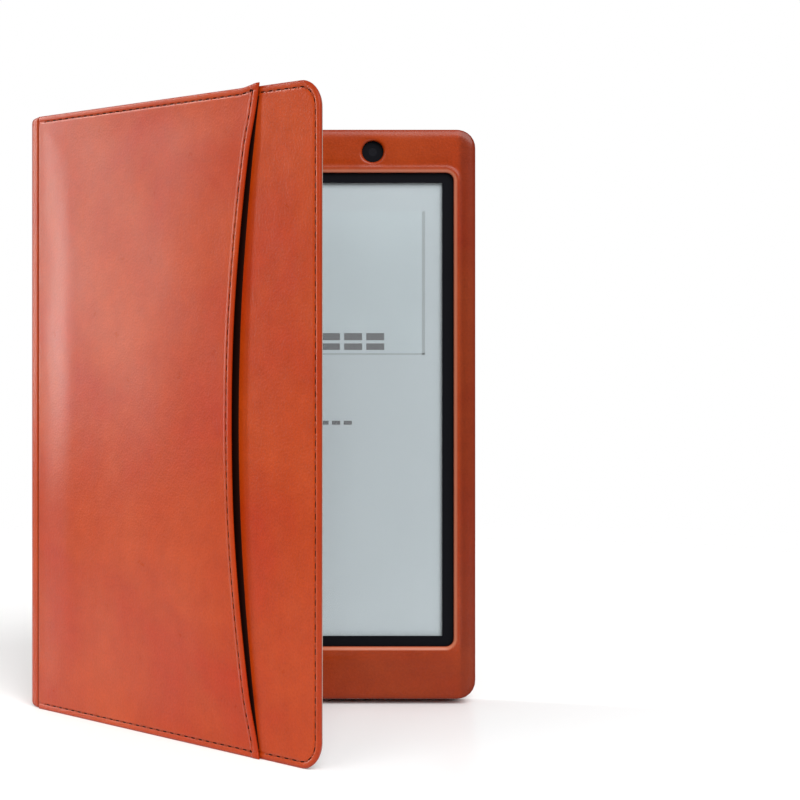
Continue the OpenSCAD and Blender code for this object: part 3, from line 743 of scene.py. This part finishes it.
def build_pocket_shade():
    """A painted shadow in the gap under the pocket's mouth: a thin dark strip on the cover that follows the
    mouth's arc. It shows past the mouth by its size times the square root of a smooth rise from each end."""
    mouth, height = pocket_outline()[1:3]
    end_gap, under_pocket = 2.2, 2.5
    across = np.linspace(0, 1, 9)
    z = np.linspace(end_gap, height - end_gap, 180)
    across, z = np.meshgrid(across, z, indexing="ij")
    ends = np.minimum(z, height - z)
    reach = size("pocket_gap_shadow") * np.sqrt(smooth(ends, 1.5, 45))
    w = mouth(z) - under_pocket + (under_pocket + reach) * across
    width, cover_height, corner = cover_size()[:3]
    rim_line = np.isclose(across, 0) | np.isclose(across, 1) | np.isclose(ends, end_gap)
    base = HALF_SKIN + cover_relief(w, z, outline_depth(w, z, width, 0, cover_height, corner))
    front_n = base + np.where(rim_line, 0.02, 0.06)
    back_n = base + np.where(rim_line, 0.02, 0.0)
    front, back = (as_points(w, n, z, COVER) for n in (front_n, back_n))
    dark = finish("needle_hole")
    piece = shell_piece("pocket_gap_shadow", front, back, grid_quads(*w.shape), dark, as_uv(w, z))
    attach(piece, "cover")


def lining_sheet(name, panel, node, body, radius):
    """A thin lining between a node's two faces, with round corners away from the fold, that closes in
    a quarter round at its rim and has a slow quilt of waves."""
    low, high = panel.span(node)
    height = high[2] - low[2]
    w = stations(low[0], high[0], 3, (0, 0.1, 0.25, 0.5, 1), EDGE_STEPS[:-1])
    v = stations(0, height, 3, EDGE_STEPS[:-1], EDGE_STEPS[:-1]) / height
    w, v = np.meshgrid(w, v, indexing="ij")
    corner = np.clip(w - (high[0] - radius), 0, radius)
    inset = radius - np.sqrt(radius**2 - corner**2)
    z = low[2] + inset + (height - 2 * inset) * v
    depth = outline_depth(w, z, high[0], low[2], high[2], radius)
    depth = np.minimum(depth, w - low[0])
    rim_line = np.isclose(v, 0) | np.isclose(v, 1) | np.isclose(w, high[0]) | np.isclose(w, low[0])
    depth = np.where(rim_line, 0, np.maximum(depth, 0))
    middle, half = (low[1] + high[1]) / 2, (high[1] - low[1]) / 2
    inner = middle - half * roll(depth, 0.45) + 0.05 * hand_worked(w, z) * smooth(depth, 0.5, 8)
    outer = middle + half * roll(depth, 0.45)
    front, back = (as_points(w, n, z, panel) for n in (outer, inner))
    piece = shell_piece(name, front, back, grid_quads(*w.shape), finish("lining"), as_uv(w, z))
    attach(piece, body)
    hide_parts(node)


# ---- Stitching -----------------------------------------------------------------------------


def bead(length_mm, width_mm, height_mm, arch):
    """A small long bead, 8 round and 5 along: an ellipse swept along a line. Its girth is the square
    root of 1 less the distance from the middle to the power 2.4, and its middle drops by the arch
    times that distance squared."""
    x = np.cos(np.linspace(math.pi, 0, 6))
    around = np.linspace(0, 2 * math.pi, 8, endpoint=False)
    x, around = np.meshgrid(x, around, indexing="ij")
    least_girth = 0.12
    girth = np.maximum(np.sqrt(1 - np.clip(np.abs(x), 0, 1) ** 2.4), least_girth)
    shape = np.stack(
        [
            x * length_mm / 2,
            np.cos(around) * girth * width_mm / 2,
            np.sin(around) * girth * height_mm / 2 - arch * x * x,
        ],
        axis=-1,
    ).reshape(-1, 3)
    corner = np.arange(48).reshape(6, 8)
    turned = np.roll(corner, -1, axis=1)
    quads = np.stack([corner[:-1], turned[:-1], turned[1:], corner[1:]], axis=-1).reshape(-1, 4)
    strips = np.array([[0, 1, 2, 3], [0, 3, 4, 7], [4, 5, 6, 7]])
    caps = np.stack([corner[0][strips][:, ::-1], corner[-1][strips]], axis=1).reshape(-1, 4)
    return shape, np.concatenate([quads, caps])[:, ::-1]


def spaced(w, z, first, last):
    """Centres along a drawn line at the stitch pitch, by its arc length, and the line's directions."""
    along = np.concatenate([[0], np.cumsum(np.hypot(np.diff(w), np.diff(z)))])
    count = int((along[-1] - first - last) / size("stitch_pitch"))
    centres = first + (np.arange(count) + 0.5) * (along[-1] - first - last) / count
    step = 0.05
    here = [np.interp(centres, along, line) for line in (w, z)]
    ahead = [np.interp(centres + step, along, line) for line in (w, z)]
    behind = [np.interp(centres - step, along, line) for line in (w, z)]
    run = np.stack([ahead[0] - behind[0], ahead[1] - behind[1]], axis=1)
    return here[0], here[1], run / np.linalg.norm(run, axis=1)[:, None]


def stitch_row(name, w, z, surface, rise, node=None, slot_width=0.95):
    """A row of thread beads and, half a pitch on, dark beads of painted shade for the needle holes between
    them. Each bead lies along the line, on the surface's n and at z plus the rise."""
    end_gap = 0.6
    out = np.array([*COVER.out, 0.0])
    along = np.array([*COVER.along, 0.0])
    up = np.array([0.0, 0.0, 1.0])
    for part, shift, sink in (("thread", 0.0, 0.06), ("hole_shade_beads", size("stitch_pitch") / 2, 0.0)):
        if part == "thread":
            shape, quads = bead(size("stitch_length"), size("stitch_width"), 0.42, 0.16)
        else:
            # Painted shade of the needle holes: flat dark beads between the stitches.
            gap = size("stitch_pitch") - size("stitch_length")
            shape, quads = bead(gap + 0.3, slot_width, 0.12, 0.0)
        cw, cz, run = spaced(w, z, end_gap + shift, end_gap - shift)
        centres = COVER.place(cw, surface(cw, cz) + sink, cz + rise(cw, cz))
        run3 = run[:, :1] * along + run[:, 1:] * up
        side = np.cross(np.broadcast_to(out, run3.shape), run3)
        axes = np.stack([run3, side, np.broadcast_to(out, run3.shape)], axis=1)
        made = finish("thread" if part == "thread" else "needle_hole")
        piece = repeat_shape(f"{name}_{part}", shape, quads, centres, axes, made)
        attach(piece, "cover")
    if node:
        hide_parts(node)


def build_stitching():
    """Rows on the bare cover, on the pocket's mouth and its top and bottom edges, and on the seam."""
    width, height, radius, seam = cover_size()
    left, mouth, _, mouth_radius = pocket_outline()
    inset = size("stitch_inset")

    def on_cover(w, z):
        depth = outline_depth(w, z, width, 0, height, radius)
        return HALF_SKIN + cover_relief(w, z, depth)

    def on_pocket(w, z):
        return pocket_surface(w, z)[0]

    def flat(w, z):
        return np.zeros_like(w)

    corner = radius - inset
    turn = np.linspace(0, math.pi / 2, 24)
    right = width - radius
    lower = mouth(inset) + 0.6
    across, down = corner * np.sin(turn), corner * np.cos(turn)
    w = np.concatenate([[lower], right + across, right + down, [lower]])
    z = np.concatenate([[inset], radius - down, height - radius + across, [height - inset]])
    stitch_row("edge_stitches", w, z, on_cover, flat, "cover_edge_thread")
    z = np.linspace(inset, height - inset, 200)
    lean = np.sqrt(1 - ((z - height / 2) / mouth_radius) ** 2)
    stitch_row("mouth_stitches", mouth(z) - inset / lean, z, on_pocket, pocket_rise, "pocket_mouth_thread")
    for name, at in (("top_stitches", height - inset), ("bottom_stitches", inset)):
        w = np.linspace(left + 1.6, mouth(at) - inset, 60)
        stitch_row(name, w, np.full_like(w, at), on_pocket, pocket_rise)
    z = np.linspace(inset, height - inset, 60)
    stitch_row("seam_stitches", np.full_like(z, seam), z, on_cover, flat, "spine_seam_thread", 1.2)


# ---- Holder --------------------------------------------------------------------------------


def frame_places():
    """Outer box, window box, radii and sensor hole of the frame, read from its node."""
    low, high = BACK.span("frame_leather")
    points = BACK.read("frame_leather")[:, [0, 2]]
    outer = (np.array([low[0], low[2]]), np.array([high[0], high[2]]))
    hole = opening("sensor_window").mean(axis=0)
    centre = np.array([hole[0] - BACK_CORNER[0], hole[2]])
    from_hole = np.linalg.norm(points - centre, axis=1)
    hole_radius = float(from_hole.min())
    rest = points[from_hole > hole_radius + 1]
    edge = rest[rest[:, 1] > outer[1][1] - 0.01]
    radius = float(outer[1][0] - edge[:, 0].max())
    inner = rest[box_depth(rest[:, 0], rest[:, 1], *outer, radius) > 4]
    window = (inner.min(axis=0), inner.max(axis=0))
    top = inner[inner[:, 1] > window[1][1] - 0.01]
    window_radius = float(window[1][0] - top[:, 0].max())
    return outer, window, radius, window_radius, centre, hole_radius, low[1], high[1]


def window_ring(outer, window, radius, window_radius):
    """Matching points of the outer and the window outline, started at the top left. Straight runs match
    across, so columns between them stand upright, and corners fan out by equal shares."""
    arc = np.linspace(0, 1, 17)[1:-1]
    loops = []
    for (low, high), corner_radius in ((outer, radius), (window, window_radius)):
        inner_low, inner_high = window[0] + window_radius, window[1] - window_radius
        across = np.linspace(inner_low[0], inner_high[0], 60)
        rise = np.linspace(inner_low[1], inner_high[1], 76)
        top = np.stack([across, np.full_like(across, high[1])], axis=1)
        right = np.stack([np.full_like(rise, high[0]), rise[::-1]], axis=1)
        bottom = np.stack([across[::-1], np.full_like(across, low[1])], axis=1)
        left = np.stack([np.full_like(rise, low[0]), rise], axis=1)
        runs = []
        for begin, run, centre, quarter in (
            (0, top, high - corner_radius, 90),
            (1, right, np.array([high[0] - corner_radius, low[1] + corner_radius]), 0),
            (2, bottom, low + corner_radius, -90),
            (3, left, np.array([low[0] + corner_radius, high[1] - corner_radius]), 180),
        ):
            following = (right, bottom, left, top)[begin][0]
            turn = np.radians(quarter - 90 * np.linspace(0, 1, 24))
            bend = centre + corner_radius * np.stack([np.cos(turn), np.sin(turn)], axis=1)
            path = np.concatenate([run[-1:], bend, following[None]])
            steps = np.linalg.norm(np.diff(path, axis=0), axis=1)
            run_length = np.concatenate([[0], np.cumsum(steps)])
            share = arc * run_length[-1]
            fan = np.stack([np.interp(share, run_length, path[:, k]) for k in (0, 1)], axis=1)
            runs += [run, fan]
        loops.append(np.concatenate(runs))
    return loops


def ring_layout(outer, window, radius, window_radius, centre, hole_radius):
    """Plan points and cells of the frame: rings from the window's edge to the outer edge, with a round
    patch about the sensor hole in place of the cells that it would cross."""
    outer_loop, inner_loop = window_ring(outer, window, radius, window_radius)
    at_window = (0, 0.6, 1.5, 3, 5, 8, 11, 15, 20, 25)
    at_rim = (0, 0.6, 1.5, 3, 5, 8, 12, 16, 21, 27, 34)
    share = stations(0, 100, 9, at_window, at_rim) / 100
    outer_loop = np.concatenate([outer_loop, outer_loop[:1]])
    inner_loop = np.concatenate([inner_loop, inner_loop[:1]])
    points = inner_loop[:, None, :] + (outer_loop - inner_loop)[:, None, :] * share[None, :, None]
    cell = (points[:-1, :-1] + points[1:, 1:]) / 2
    reach = hole_radius + 1.6
    near = (np.abs(cell - centre) < reach).all(axis=-1)
    rows, columns = np.nonzero(near)
    r0, r1, c0, c1 = rows.min(), rows.max() + 1, columns.min(), columns.max() + 1
    near[r0:r1, c0:c1] = True
    quads = grid_quads(points.shape[0], points.shape[1], ~near)
    sides = (points[r0:r1, c0], points[r1, c0:c1], points[r1:r0:-1, c1], points[r0, c1:c0:-1])
    loop = np.concatenate([*sides, points[r0:r0 + 1, c0]])
    away = loop - centre
    rim = centre + hole_radius * away / np.linalg.norm(away, axis=1)[:, None]
    steps = np.array([0, 0.03, 0.07, 0.13, 0.2, 0.3, 0.42, 0.6, 0.8, 1.0])
    patch = rim[:, None, :] + (loop - rim)[:, None, :] * steps[None, :, None]
    count = points.shape[0] * points.shape[1]
    patch_quads = grid_quads(*patch.shape[:2]) + count
    flat = np.concatenate([points.reshape(-1, 2), patch.reshape(-1, 2)])
    return flat, np.concatenate([quads, patch_quads])


def build_frame_wrap():
    """Leather of the holder's frame: a soft rolled lip at the window, a smaller one at the sensor hole
    and a broad round at the outer edge."""
    outer, window, radius, window_radius, centre, hole_radius, front_n, back_n = frame_places()
    flat, quads = ring_layout(outer, window, radius, window_radius, centre, hole_radius)
    x, z = flat[:, 0], flat[:, 1]
    from_outer = np.maximum(box_depth(x, z, *outer, radius), 0)
    from_window = np.maximum(-box_depth(x, z, *window, window_radius), 0)
    from_hole = np.maximum(np.hypot(x - centre[0], z - centre[1]) - hole_radius, 0)
    back_face = back_n + (back_n - front_n) * 1.25
    middle, half = (front_n + back_face) / 2, (back_face - front_n) / 2
    shape = np.minimum(roll(from_outer, size("frame_roll")), roll(from_window, size("lip_roll")))
    shape = np.minimum(shape, roll(from_hole, 1.1))
    closing = np.minimum(np.minimum(from_outer, from_window), from_hole)
    lip = 0.16 * dent(from_window, 1.5, 0.7) - 0.1 * dent(from_window, 2.9, 0.6)
    waves = 0.05 * hand_worked(x + 70, z + 20) * smooth(closing, 1, 4)
    front_offset = middle - half * shape - lip * smooth(closing, 0.3, 1.2) + waves
    back_offset = middle + half * roll(closing, 0.5)
    offsets = (np.where(closing < 1e-4, middle, offset) for offset in (front_offset, back_offset))
    front, back = (BACK.place(x, offset, z) for offset in offsets)
    rim = 0.7 * (1 - smooth(from_outer, 0.2, 1.6)) + 0.5 * (1 - smooth(from_hole, 0.1, 0.8))
    from_side = np.minimum(x - outer[0][0], outer[1][0] - x)
    # Painted highlight: a pale ring along the window's rolled lip.
    painted_highlight = (1 - smooth(from_window, 0.9, 1.4)) * smooth(from_window, 0, 0.3)
    from_foot = z - outer[0][1]
    band = window[0][0] - outer[0][0] - 1.6
    # Painted shade: darker across the side bands and towards the foot, where the frame turns away from the
    # light, but not on the painted highlight.
    side_shade = 0.36 * (1 - smooth(from_side, band - 1.2, band))
    foot_shade = 0.2 * (1 - smooth(from_foot, 12, 20))
    values = {"rim": rim, "painted_highlight": painted_highlight, "painted_shade": np.maximum(side_shade, foot_shade) * (1 - painted_highlight)}
    skin = finish("leather_frame")
    piece = shell_piece("frame_wrap", front, back, quads, skin, as_uv(x, z, 600), values)
    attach(piece, "back")
    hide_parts("frame_leather")


def build_sleeve_band():
    """Leather band round the reader's sides and bottom: a strip carried down one side, round the two
    lower corners and up the other, with a slot for the charging plug."""
    left_low, left_high = BACK.span("holder_left_wall")
    right_high = BACK.span("holder_right_wall")[1]
    floor_low = BACK.span("holder_bottom_wall")[0]
    wall = left_high[0] - left_low[0]
    radius = left_low[2] - floor_low[2]
    low, high = np.array([left_low[0], floor_low[2]]), np.array([right_high[0], left_high[2]])
    side = high[1] - low[1] - radius
    bottom = high[0] - low[0] - 2 * radius
    quarter = radius * math.pi / 2
    slot_box = opening("cable_cut_out")
    slot_x = sorted(slot_box[:, 0] - BACK_CORNER[0])
    slot_n = sorted(slot_box[:, 1] - BACK_CORNER[1])
    slot_centre = side + quarter + (slot_x[0] + slot_x[1]) / 2 - low[0] - radius
    slot_mid = (slot_n[0] + slot_n[1]) / 2
    slot_half, slot_half_n = 6.5, (slot_n[1] - slot_n[0]) / 2 + 0.1
    total = 2 * side + 2 * quarter + bottom
    s = stations(0, total, 2.5, EDGE_STEPS[:10], EDGE_STEPS[:10])
    turns = [np.linspace(a, a + quarter, 12) for a in (side, side + quarter + bottom)]
    past_slot = slot_half + np.array([0, 0.15, 0.35, 0.6, 1.0])
    in_slot = np.linspace(slot_centre - slot_half, slot_centre + slot_half, 9)
    clear = (s < slot_centre - slot_half - 1.2) | (s > slot_centre + slot_half + 1.2)
    s = np.concatenate([s[clear], *turns, slot_centre - past_slot, slot_centre + past_slot, in_slot])
    s = np.unique(s.round(4))
    front_n, back_n = left_low[1], left_high[1]
    lines = np.array([0, 0.08, 0.2, 0.4, 0.7])
    slot_lines = slot_mid + np.array([-1, 1])[:, None] * (slot_half_n + np.array([0, 0.12, 0.3])[None])
    between = np.linspace(front_n + 1, back_n - 1, 5)
    n = np.concatenate([front_n + lines, back_n - lines, slot_lines.ravel(), between])
    n = np.unique(n[(n >= front_n) & (n <= back_n)].round(4))
    s_grid, n_grid = np.meshgrid(s, n, indexing="ij")
    first, second, third, fourth = np.cumsum([side, quarter, bottom, quarter])
    angle = sum(np.clip((s_grid - start) / radius, 0, math.pi / 2) for start in (first, third))
    facing = np.stack([-np.cos(angle), -np.sin(angle)], axis=-1)
    centre_x = low[0] + radius + np.clip(s_grid - second, 0, bottom)
    centre_z = np.where(s_grid < first, high[1] - s_grid, low[1] + radius)
    centre_z = np.where(s_grid > fourth, low[1] + radius + s_grid - fourth, centre_z)
    centre = np.stack([centre_x, centre_z], axis=-1)
    slot_out_s = np.abs(s_grid - slot_centre) - slot_half
    slot_out_n = np.abs(n_grid - slot_mid) - slot_half_n
    from_slot = np.hypot(np.maximum(slot_out_s, 0), np.maximum(slot_out_n, 0))
    from_edge = np.minimum(np.minimum(s_grid, total - s_grid), np.minimum(n_grid - front_n, back_n - n_grid))
    depth = np.maximum(np.minimum(from_edge, from_slot), 0)
    depth = np.where(depth < 2e-4, 0, depth)
    swell = 0.05 * hand_worked(s_grid, n_grid) * smooth(depth, 0, 2)
    outer_radius = radius - wall / 2 + wall / 2 * roll(depth, 0.45) - 0.06 + swell
    inner_radius = radius - wall / 2 - wall / 2 * roll(depth, 0.45)
    plans = (centre + facing * reach[..., None] for reach in (outer_radius, inner_radius))
    front, back = (as_points(plan[..., 0], n_grid, plan[..., 1], BACK) for plan in plans)
    cell_s = (s[:-1] + s[1:]) / 2
    cell_n = (n[:-1] + n[1:]) / 2
    cut_s = np.abs(cell_s - slot_centre) < slot_half
    cut_n = np.abs(cell_n - slot_mid) < slot_half_n
    cut = cut_s[:, None] & cut_n[None]
    rim = {"rim": 0.4 * (1 - smooth(depth, 0.1, 0.6))}
    quads = grid_quads(len(s), len(n), ~cut)
    skin = finish("leather_frame")
    piece = shell_piece("sleeve_band", front, back, quads, skin, as_uv(s_grid, n_grid, 200), rim)
    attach(piece, "back")
    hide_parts("holder_left_wall", "holder_right_wall", "holder_bottom_wall")


# ---- Reader --------------------------------------------------------------------------------


def build_page_marks():
    """A generic page: a tinted box with two ruled edges, a row of split blocks and a short fine row.
    Each mark is a plate as thin as ink on the front of the display."""
    screen_low, screen_high = np.array(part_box("front_bezel")) / MM
    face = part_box("ink_panel")[0][1] / MM
    side_border, top_border = 8.85, 16.4
    left, right = screen_low[0] + side_border, screen_high[0] - side_border
    top = screen_high[2] - top_border
    marks = {"page_tint": [], "page_grey": [], "page_ink": []}
    box_left, box_right, box_top, box_bottom = left + 6, right - 6, top - 9.8, top - 60.1
    marks["page_tint"].append((box_left, box_bottom, box_right, box_top))
    marks["page_grey"].append((box_right - 1.1, box_bottom, box_right, box_top))
    marks["page_grey"].append((box_left, box_bottom, box_right, box_bottom + 0.55))
    block_width, pitch, base = 6.3, 7.75, box_bottom + 1.4
    last = right - 20.3 - block_width
    for index in range(9):
        x = last - index * pitch
        for low, high in ((3.7, 6.2), (0.3, 2.6)):
            marks["page_ink"].append((x, base + low, x + block_width, base + high))
    for index in range(12):
        x = right - 34.5 - index * 4.1
        marks["page_ink"].append((x, top - 84.6, x + 2.9, top - 83.2))
    for layer, (name, boxes) in enumerate(marks.items()):
        b = np.array(boxes)
        near, far = face - 0.02 - 0.012 * layer, face + 0.01
        x = b[:, [0, 2, 2, 0, 0, 2, 2, 0]]
        z = b[:, [1, 1, 3, 3, 1, 1, 3, 3]]
        y = np.broadcast_to([near] * 4 + [far] * 4, x.shape)
        points = np.stack([x, y, z], axis=-1)
        sides = [[0, 4, 5, 1], [1, 5, 6, 2], [2, 6, 7, 3], [3, 7, 4, 0]]
        quads = np.array([[0, 1, 2, 3], [7, 6, 5, 4], *sides])
        faces = (quads[None] + np.arange(len(b))[:, None, None] * 8).reshape(-1, 4)
        piece = add_piece(name + "_marks", points, faces, finish(name), smooth_faces=False, weld=False)
        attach(piece, "reader")


def build_screen_film():
    """Touch film and light guide as one clear sheet, a hair in front of the display: two flat faces that
    close in a quarter round at the rim."""
    low, high = np.array(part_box("touch_film")) / MM
    near_rim = (0, 0.05, 0.12, 0.25, 0.5)
    x, z = (stations(low[k], high[k], 12, near_rim, near_rim) for k in (0, 2))
    x, z = np.meshgrid(x, z, indexing="ij")
    depth = np.minimum(np.minimum(x - low[0], high[0] - x), np.minimum(z - low[2], high[2] - z))
    half = 0.32 * roll(np.where(depth < 1e-4, 0, depth), 0.25)
    middle = low[1] + 0.36
    front = np.stack([x, middle - half, z], axis=-1).reshape(-1, 3)
    back = np.stack([x, middle + half, z], axis=-1).reshape(-1, 3)
    film = finish("clear_film")
    piece = shell_piece("screen_film", front, back, grid_quads(*x.shape), film, as_uv(x, z))
    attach(piece, "reader")
    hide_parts("touch_film", "light_guide")


def finish_nodes():
    """Gives each node of the frame the finish of its slot."""
    for part in frame["record"]["subparts"]:
        node = frame["nodes"][part["node"]]
        slot = part["material_slot"]
        made = finish(slot if slot in MAKERS else "leather_frame")
        node.data.materials.clear()
        node.data.materials.append(made)


# ---- Stage ---------------------------------------------------------------------------------


def area_light(name, place, aim, wide, tall, watts, tint=(1, 1, 1)):
    """A soft rectangular light at a place, turned towards a point."""
    data = bpy.data.lights.new(name, "AREA")
    data.shape = "RECTANGLE"
    data.size, data.size_y = wide, tall
    data.energy, data.color = watts, tint
    light = bpy.data.objects.new(name, data)
    light.location = place
    light.rotation_euler = (Vector(aim) - Vector(place)).to_track_quat("-Z", "Y").to_euler()
    bpy.context.scene.collection.objects.link(light)


def floor_finish():
    """Pale matte floor: a faint cloud and a soft gloss, fading out towards the white surroundings."""
    made = Finish("pale_floor", Specular_IOR_Level=0.2)
    cloud = made.noise(made.coordinates(), 3, 2)
    clouded = made.ramp(cloud, (0.3, 0.9), (0.7, 1.0))
    made.set("Base Color", made.blend(0.03, shade("floor"), clouded, "MULTIPLY"))
    made.set("Roughness", made.ramp(cloud, (0.3, 0.3), (0.7, 0.36)))
    from_middle = made.add("VectorMath", {0: made.coordinates()}, operation="LENGTH").outputs["Value"]
    made.set("Alpha", made.ramp(from_middle, (0.28, 1.0), (0.75, 0.0)))
    return made


def build_floor():
    """Floor disc: a flat grid in polar steps, just under the object's foot."""
    radius = np.concatenate([[0.0], np.geomspace(50, 9000, 30)])
    turn = np.linspace(0, 2 * math.pi, 65)
    r, t = np.meshgrid(radius, turn, indexing="ij")
    points = np.stack([r * np.cos(t), r * np.sin(t), np.full_like(r, -0.02)], axis=-1).reshape(-1, 3)
    floor = add_piece("floor", points, grid_quads(*r.shape), floor_finish().material, weld=False)


def white_world():
    """White surroundings that the camera sees in full and that light the object at under half."""
    world = bpy.data.worlds.new("white_room")
    world.use_nodes = True
    tree = world.node_tree
    path = tree.nodes.new("ShaderNodeLightPath")
    level = tree.nodes.new("ShaderNodeMapRange")
    level.inputs["To Min"].default_value = 0.45
    level.inputs["To Max"].default_value = 1.0
    background = tree.nodes["Background"].inputs
    tree.links.new(path.outputs["Is Camera Ray"], level.inputs["Value"])
    tree.links.new(level.outputs[0], background["Strength"])
    background["Color"].default_value = (1, 1, 1, 1)
    bpy.context.scene.world = world


def soft_sky():
    """A broad even light from the front and above."""
    data = bpy.data.lights.new("soft_sky", "SUN")
    data.energy, data.angle = 3.9, math.radians(45)
    sky = bpy.data.objects.new("soft_sky", data)
    sky.rotation_euler = Vector((0.3, -0.75, 0.55)).to_track_quat("Z", "Y").to_euler()
    bpy.context.scene.collection.objects.link(sky)


def front_camera():
    """The level camera in front of the folio."""
    data = bpy.data.cameras.new("front_view")
    data.sensor_width = 36
    data.lens = CAMERA_LENS
    data.shift_y = CAMERA_SHIFT
    data.clip_start = 0.01
    camera = bpy.data.objects.new("front_view", data)
    camera.location = Vector((*BACK_CORNER * MM, 0)) + Vector(CAMERA_FROM_FOLD)
    camera.rotation_euler = (math.pi / 2, 0, 0)
    bpy.context.scene.collection.objects.link(camera)
    bpy.context.scene.camera = camera


def build_stage():
    """Floor, white surroundings, a tall window at the left and behind, a wide soft light at the left
    and in front, a broad even light, and the camera."""
    build_floor()
    white_world()
    area_light("left_window", (-1.71, 0.53, 0.62), (-0.05, 0, 0.1), 0.22, 1.3, 18, (1, 0.97, 0.93))
    area_light("left_fill", (-1.1, -1.7, 0.9), (-0.02, 0, 0.1), 1.4, 1.4, 16)
    soft_sky()
    front_camera()
    bpy.context.scene.view_settings.view_transform = "Standard"


# ---- Operators -----------------------------------------------------------------------------


class FOLIO_OT_cover_skin(bpy.types.Operator):
    """Leather of the front cover and the front half of the spine"""

    bl_idname = "folio.cover_skin"
    bl_label = "Cover leather"

    def execute(self, context):
        outline = cover_size()[:3]
        skin = panel_skin(
            "cover_skin", COVER, SPINE_FROM_COVER, *outline, cover_relief, cover_painted_shade, "cover", "spine"
        )
        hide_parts("cover_leather", "spine_leather")
        return {"FINISHED"}


class FOLIO_OT_back_skin(bpy.types.Operator):
    """Leather of the back panel and the back half of the spine"""

    bl_idname = "folio.back_skin"
    bl_label = "Back leather"

    def execute(self, context):
        width, _, height = BACK.span("back_leather")[1]
        points = BACK.read("back_leather")
        radius = float(points[points[:, 0] > width - 0.01][:, 2].min())
        outline = (width, height, radius)
        skin = panel_skin(
            "back_skin", BACK, SPINE_FROM_BACK, *outline, back_relief, no_painted_shade, "back", "spine"
        )
        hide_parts("back_leather")
        return {"FINISHED"}


class FOLIO_OT_linings(bpy.types.Operator):
    """Brushed linings of the cover, the spine and the back"""

    bl_idname = "folio.linings"
    bl_label = "Linings"

    def execute(self, context):
        lining_sheet("cover_inner_lining", COVER, "cover_lining", "cover", 5.8)
        lining_sheet("spine_inner_lining", SPINE_FROM_BACK, "spine_lining", "spine", 0.6)
        lining_sheet("back_inner_lining", BACK, "back_lining", "back", 5.3)
        return {"FINISHED"}


class FOLIO_OT_outer_pocket(bpy.types.Operator):
    """Pocket sheet with the curved mouth, and the painted shadow in its mouth"""

    bl_idname = "folio.outer_pocket"
    bl_label = "Outer pocket"

    def execute(self, context):
        build_pocket()
        build_pocket_shade()
        return {"FINISHED"}


class FOLIO_OT_stitching(bpy.types.Operator):
    """Rows of stitches on the cover, the pocket and the seam"""

    bl_idname = "folio.stitching"
    bl_label = "Stitching"

    def execute(self, context):
        build_stitching()
        return {"FINISHED"}


class FOLIO_OT_frame_wrap(bpy.types.Operator):
    """Leather of the frame round the screen"""

    bl_idname = "folio.frame_wrap"
    bl_label = "Frame leather"

    def execute(self, context):
        build_frame_wrap()
        return {"FINISHED"}


class FOLIO_OT_sleeve_band(bpy.types.Operator):
    """Leather band round the sides of the reader"""

    bl_idname = "folio.sleeve_band"
    bl_label = "Sleeve band"

    def execute(self, context):
        build_sleeve_band()
        return {"FINISHED"}


class FOLIO_OT_page_marks(bpy.types.Operator):
    """Plain marks of a page on the display, and the clear film over it"""

    bl_idname = "folio.page_marks"
    bl_label = "Page marks"

    def execute(self, context):
        build_page_marks()
        build_screen_film()
        return {"FINISHED"}


class FOLIO_OT_part_finishes(bpy.types.Operator):
    """Finishes of every part that keeps its own shape"""

    bl_idname = "folio.part_finishes"
    bl_label = "Part finishes"

    def execute(self, context):
        finish_nodes()
        return {"FINISHED"}


class FOLIO_OT_stage(bpy.types.Operator):
    """Floor, lights and camera"""

    bl_idname = "folio.stage"
    bl_label = "Stage"

    def execute(self, context):
        build_stage()
        return {"FINISHED"}


class FOLIO_PT_build(bpy.types.Panel):
    """Lists the steps in order, with the sizes and colours under them"""

    bl_label = "Leather folio reader"
    bl_idname = "FOLIO_PT_build"
    bl_space_type = "VIEW_3D"
    bl_region_type = "UI"
    bl_category = "Folio"

    def draw(self, context):
        for operator in OPERATORS:
            self.layout.operator(operator.bl_idname)
        for group in (context.scene.folio_sizes, context.scene.folio_colours):
            box = self.layout.box()
            for key in group.__annotations__:
                box.prop(group, key)


OPERATORS = (
    FOLIO_OT_part_finishes,
    FOLIO_OT_cover_skin,
    FOLIO_OT_back_skin,
    FOLIO_OT_linings,
    FOLIO_OT_outer_pocket,
    FOLIO_OT_stitching,
    FOLIO_OT_frame_wrap,
    FOLIO_OT_sleeve_band,
    FOLIO_OT_page_marks,
    FOLIO_OT_stage,
)
CLASSES = (FolioSizes, FolioColours, *OPERATORS, FOLIO_PT_build)


def register():
    for cls in CLASSES:
        bpy.utils.register_class(cls)
    bpy.types.Scene.folio_sizes = PointerProperty(type=FolioSizes)
    bpy.types.Scene.folio_colours = PointerProperty(type=FolioColours)


def unregister():
    del bpy.types.Scene.folio_colours
    del bpy.types.Scene.folio_sizes
    for cls in reversed(CLASSES):
        bpy.utils.unregister_class(cls)


def main():
    register()
    for operator in OPERATORS:
        group, name = operator.bl_idname.split(".")
        getattr(getattr(bpy.ops, group), name)()


if __name__ == "__main__":
    main()
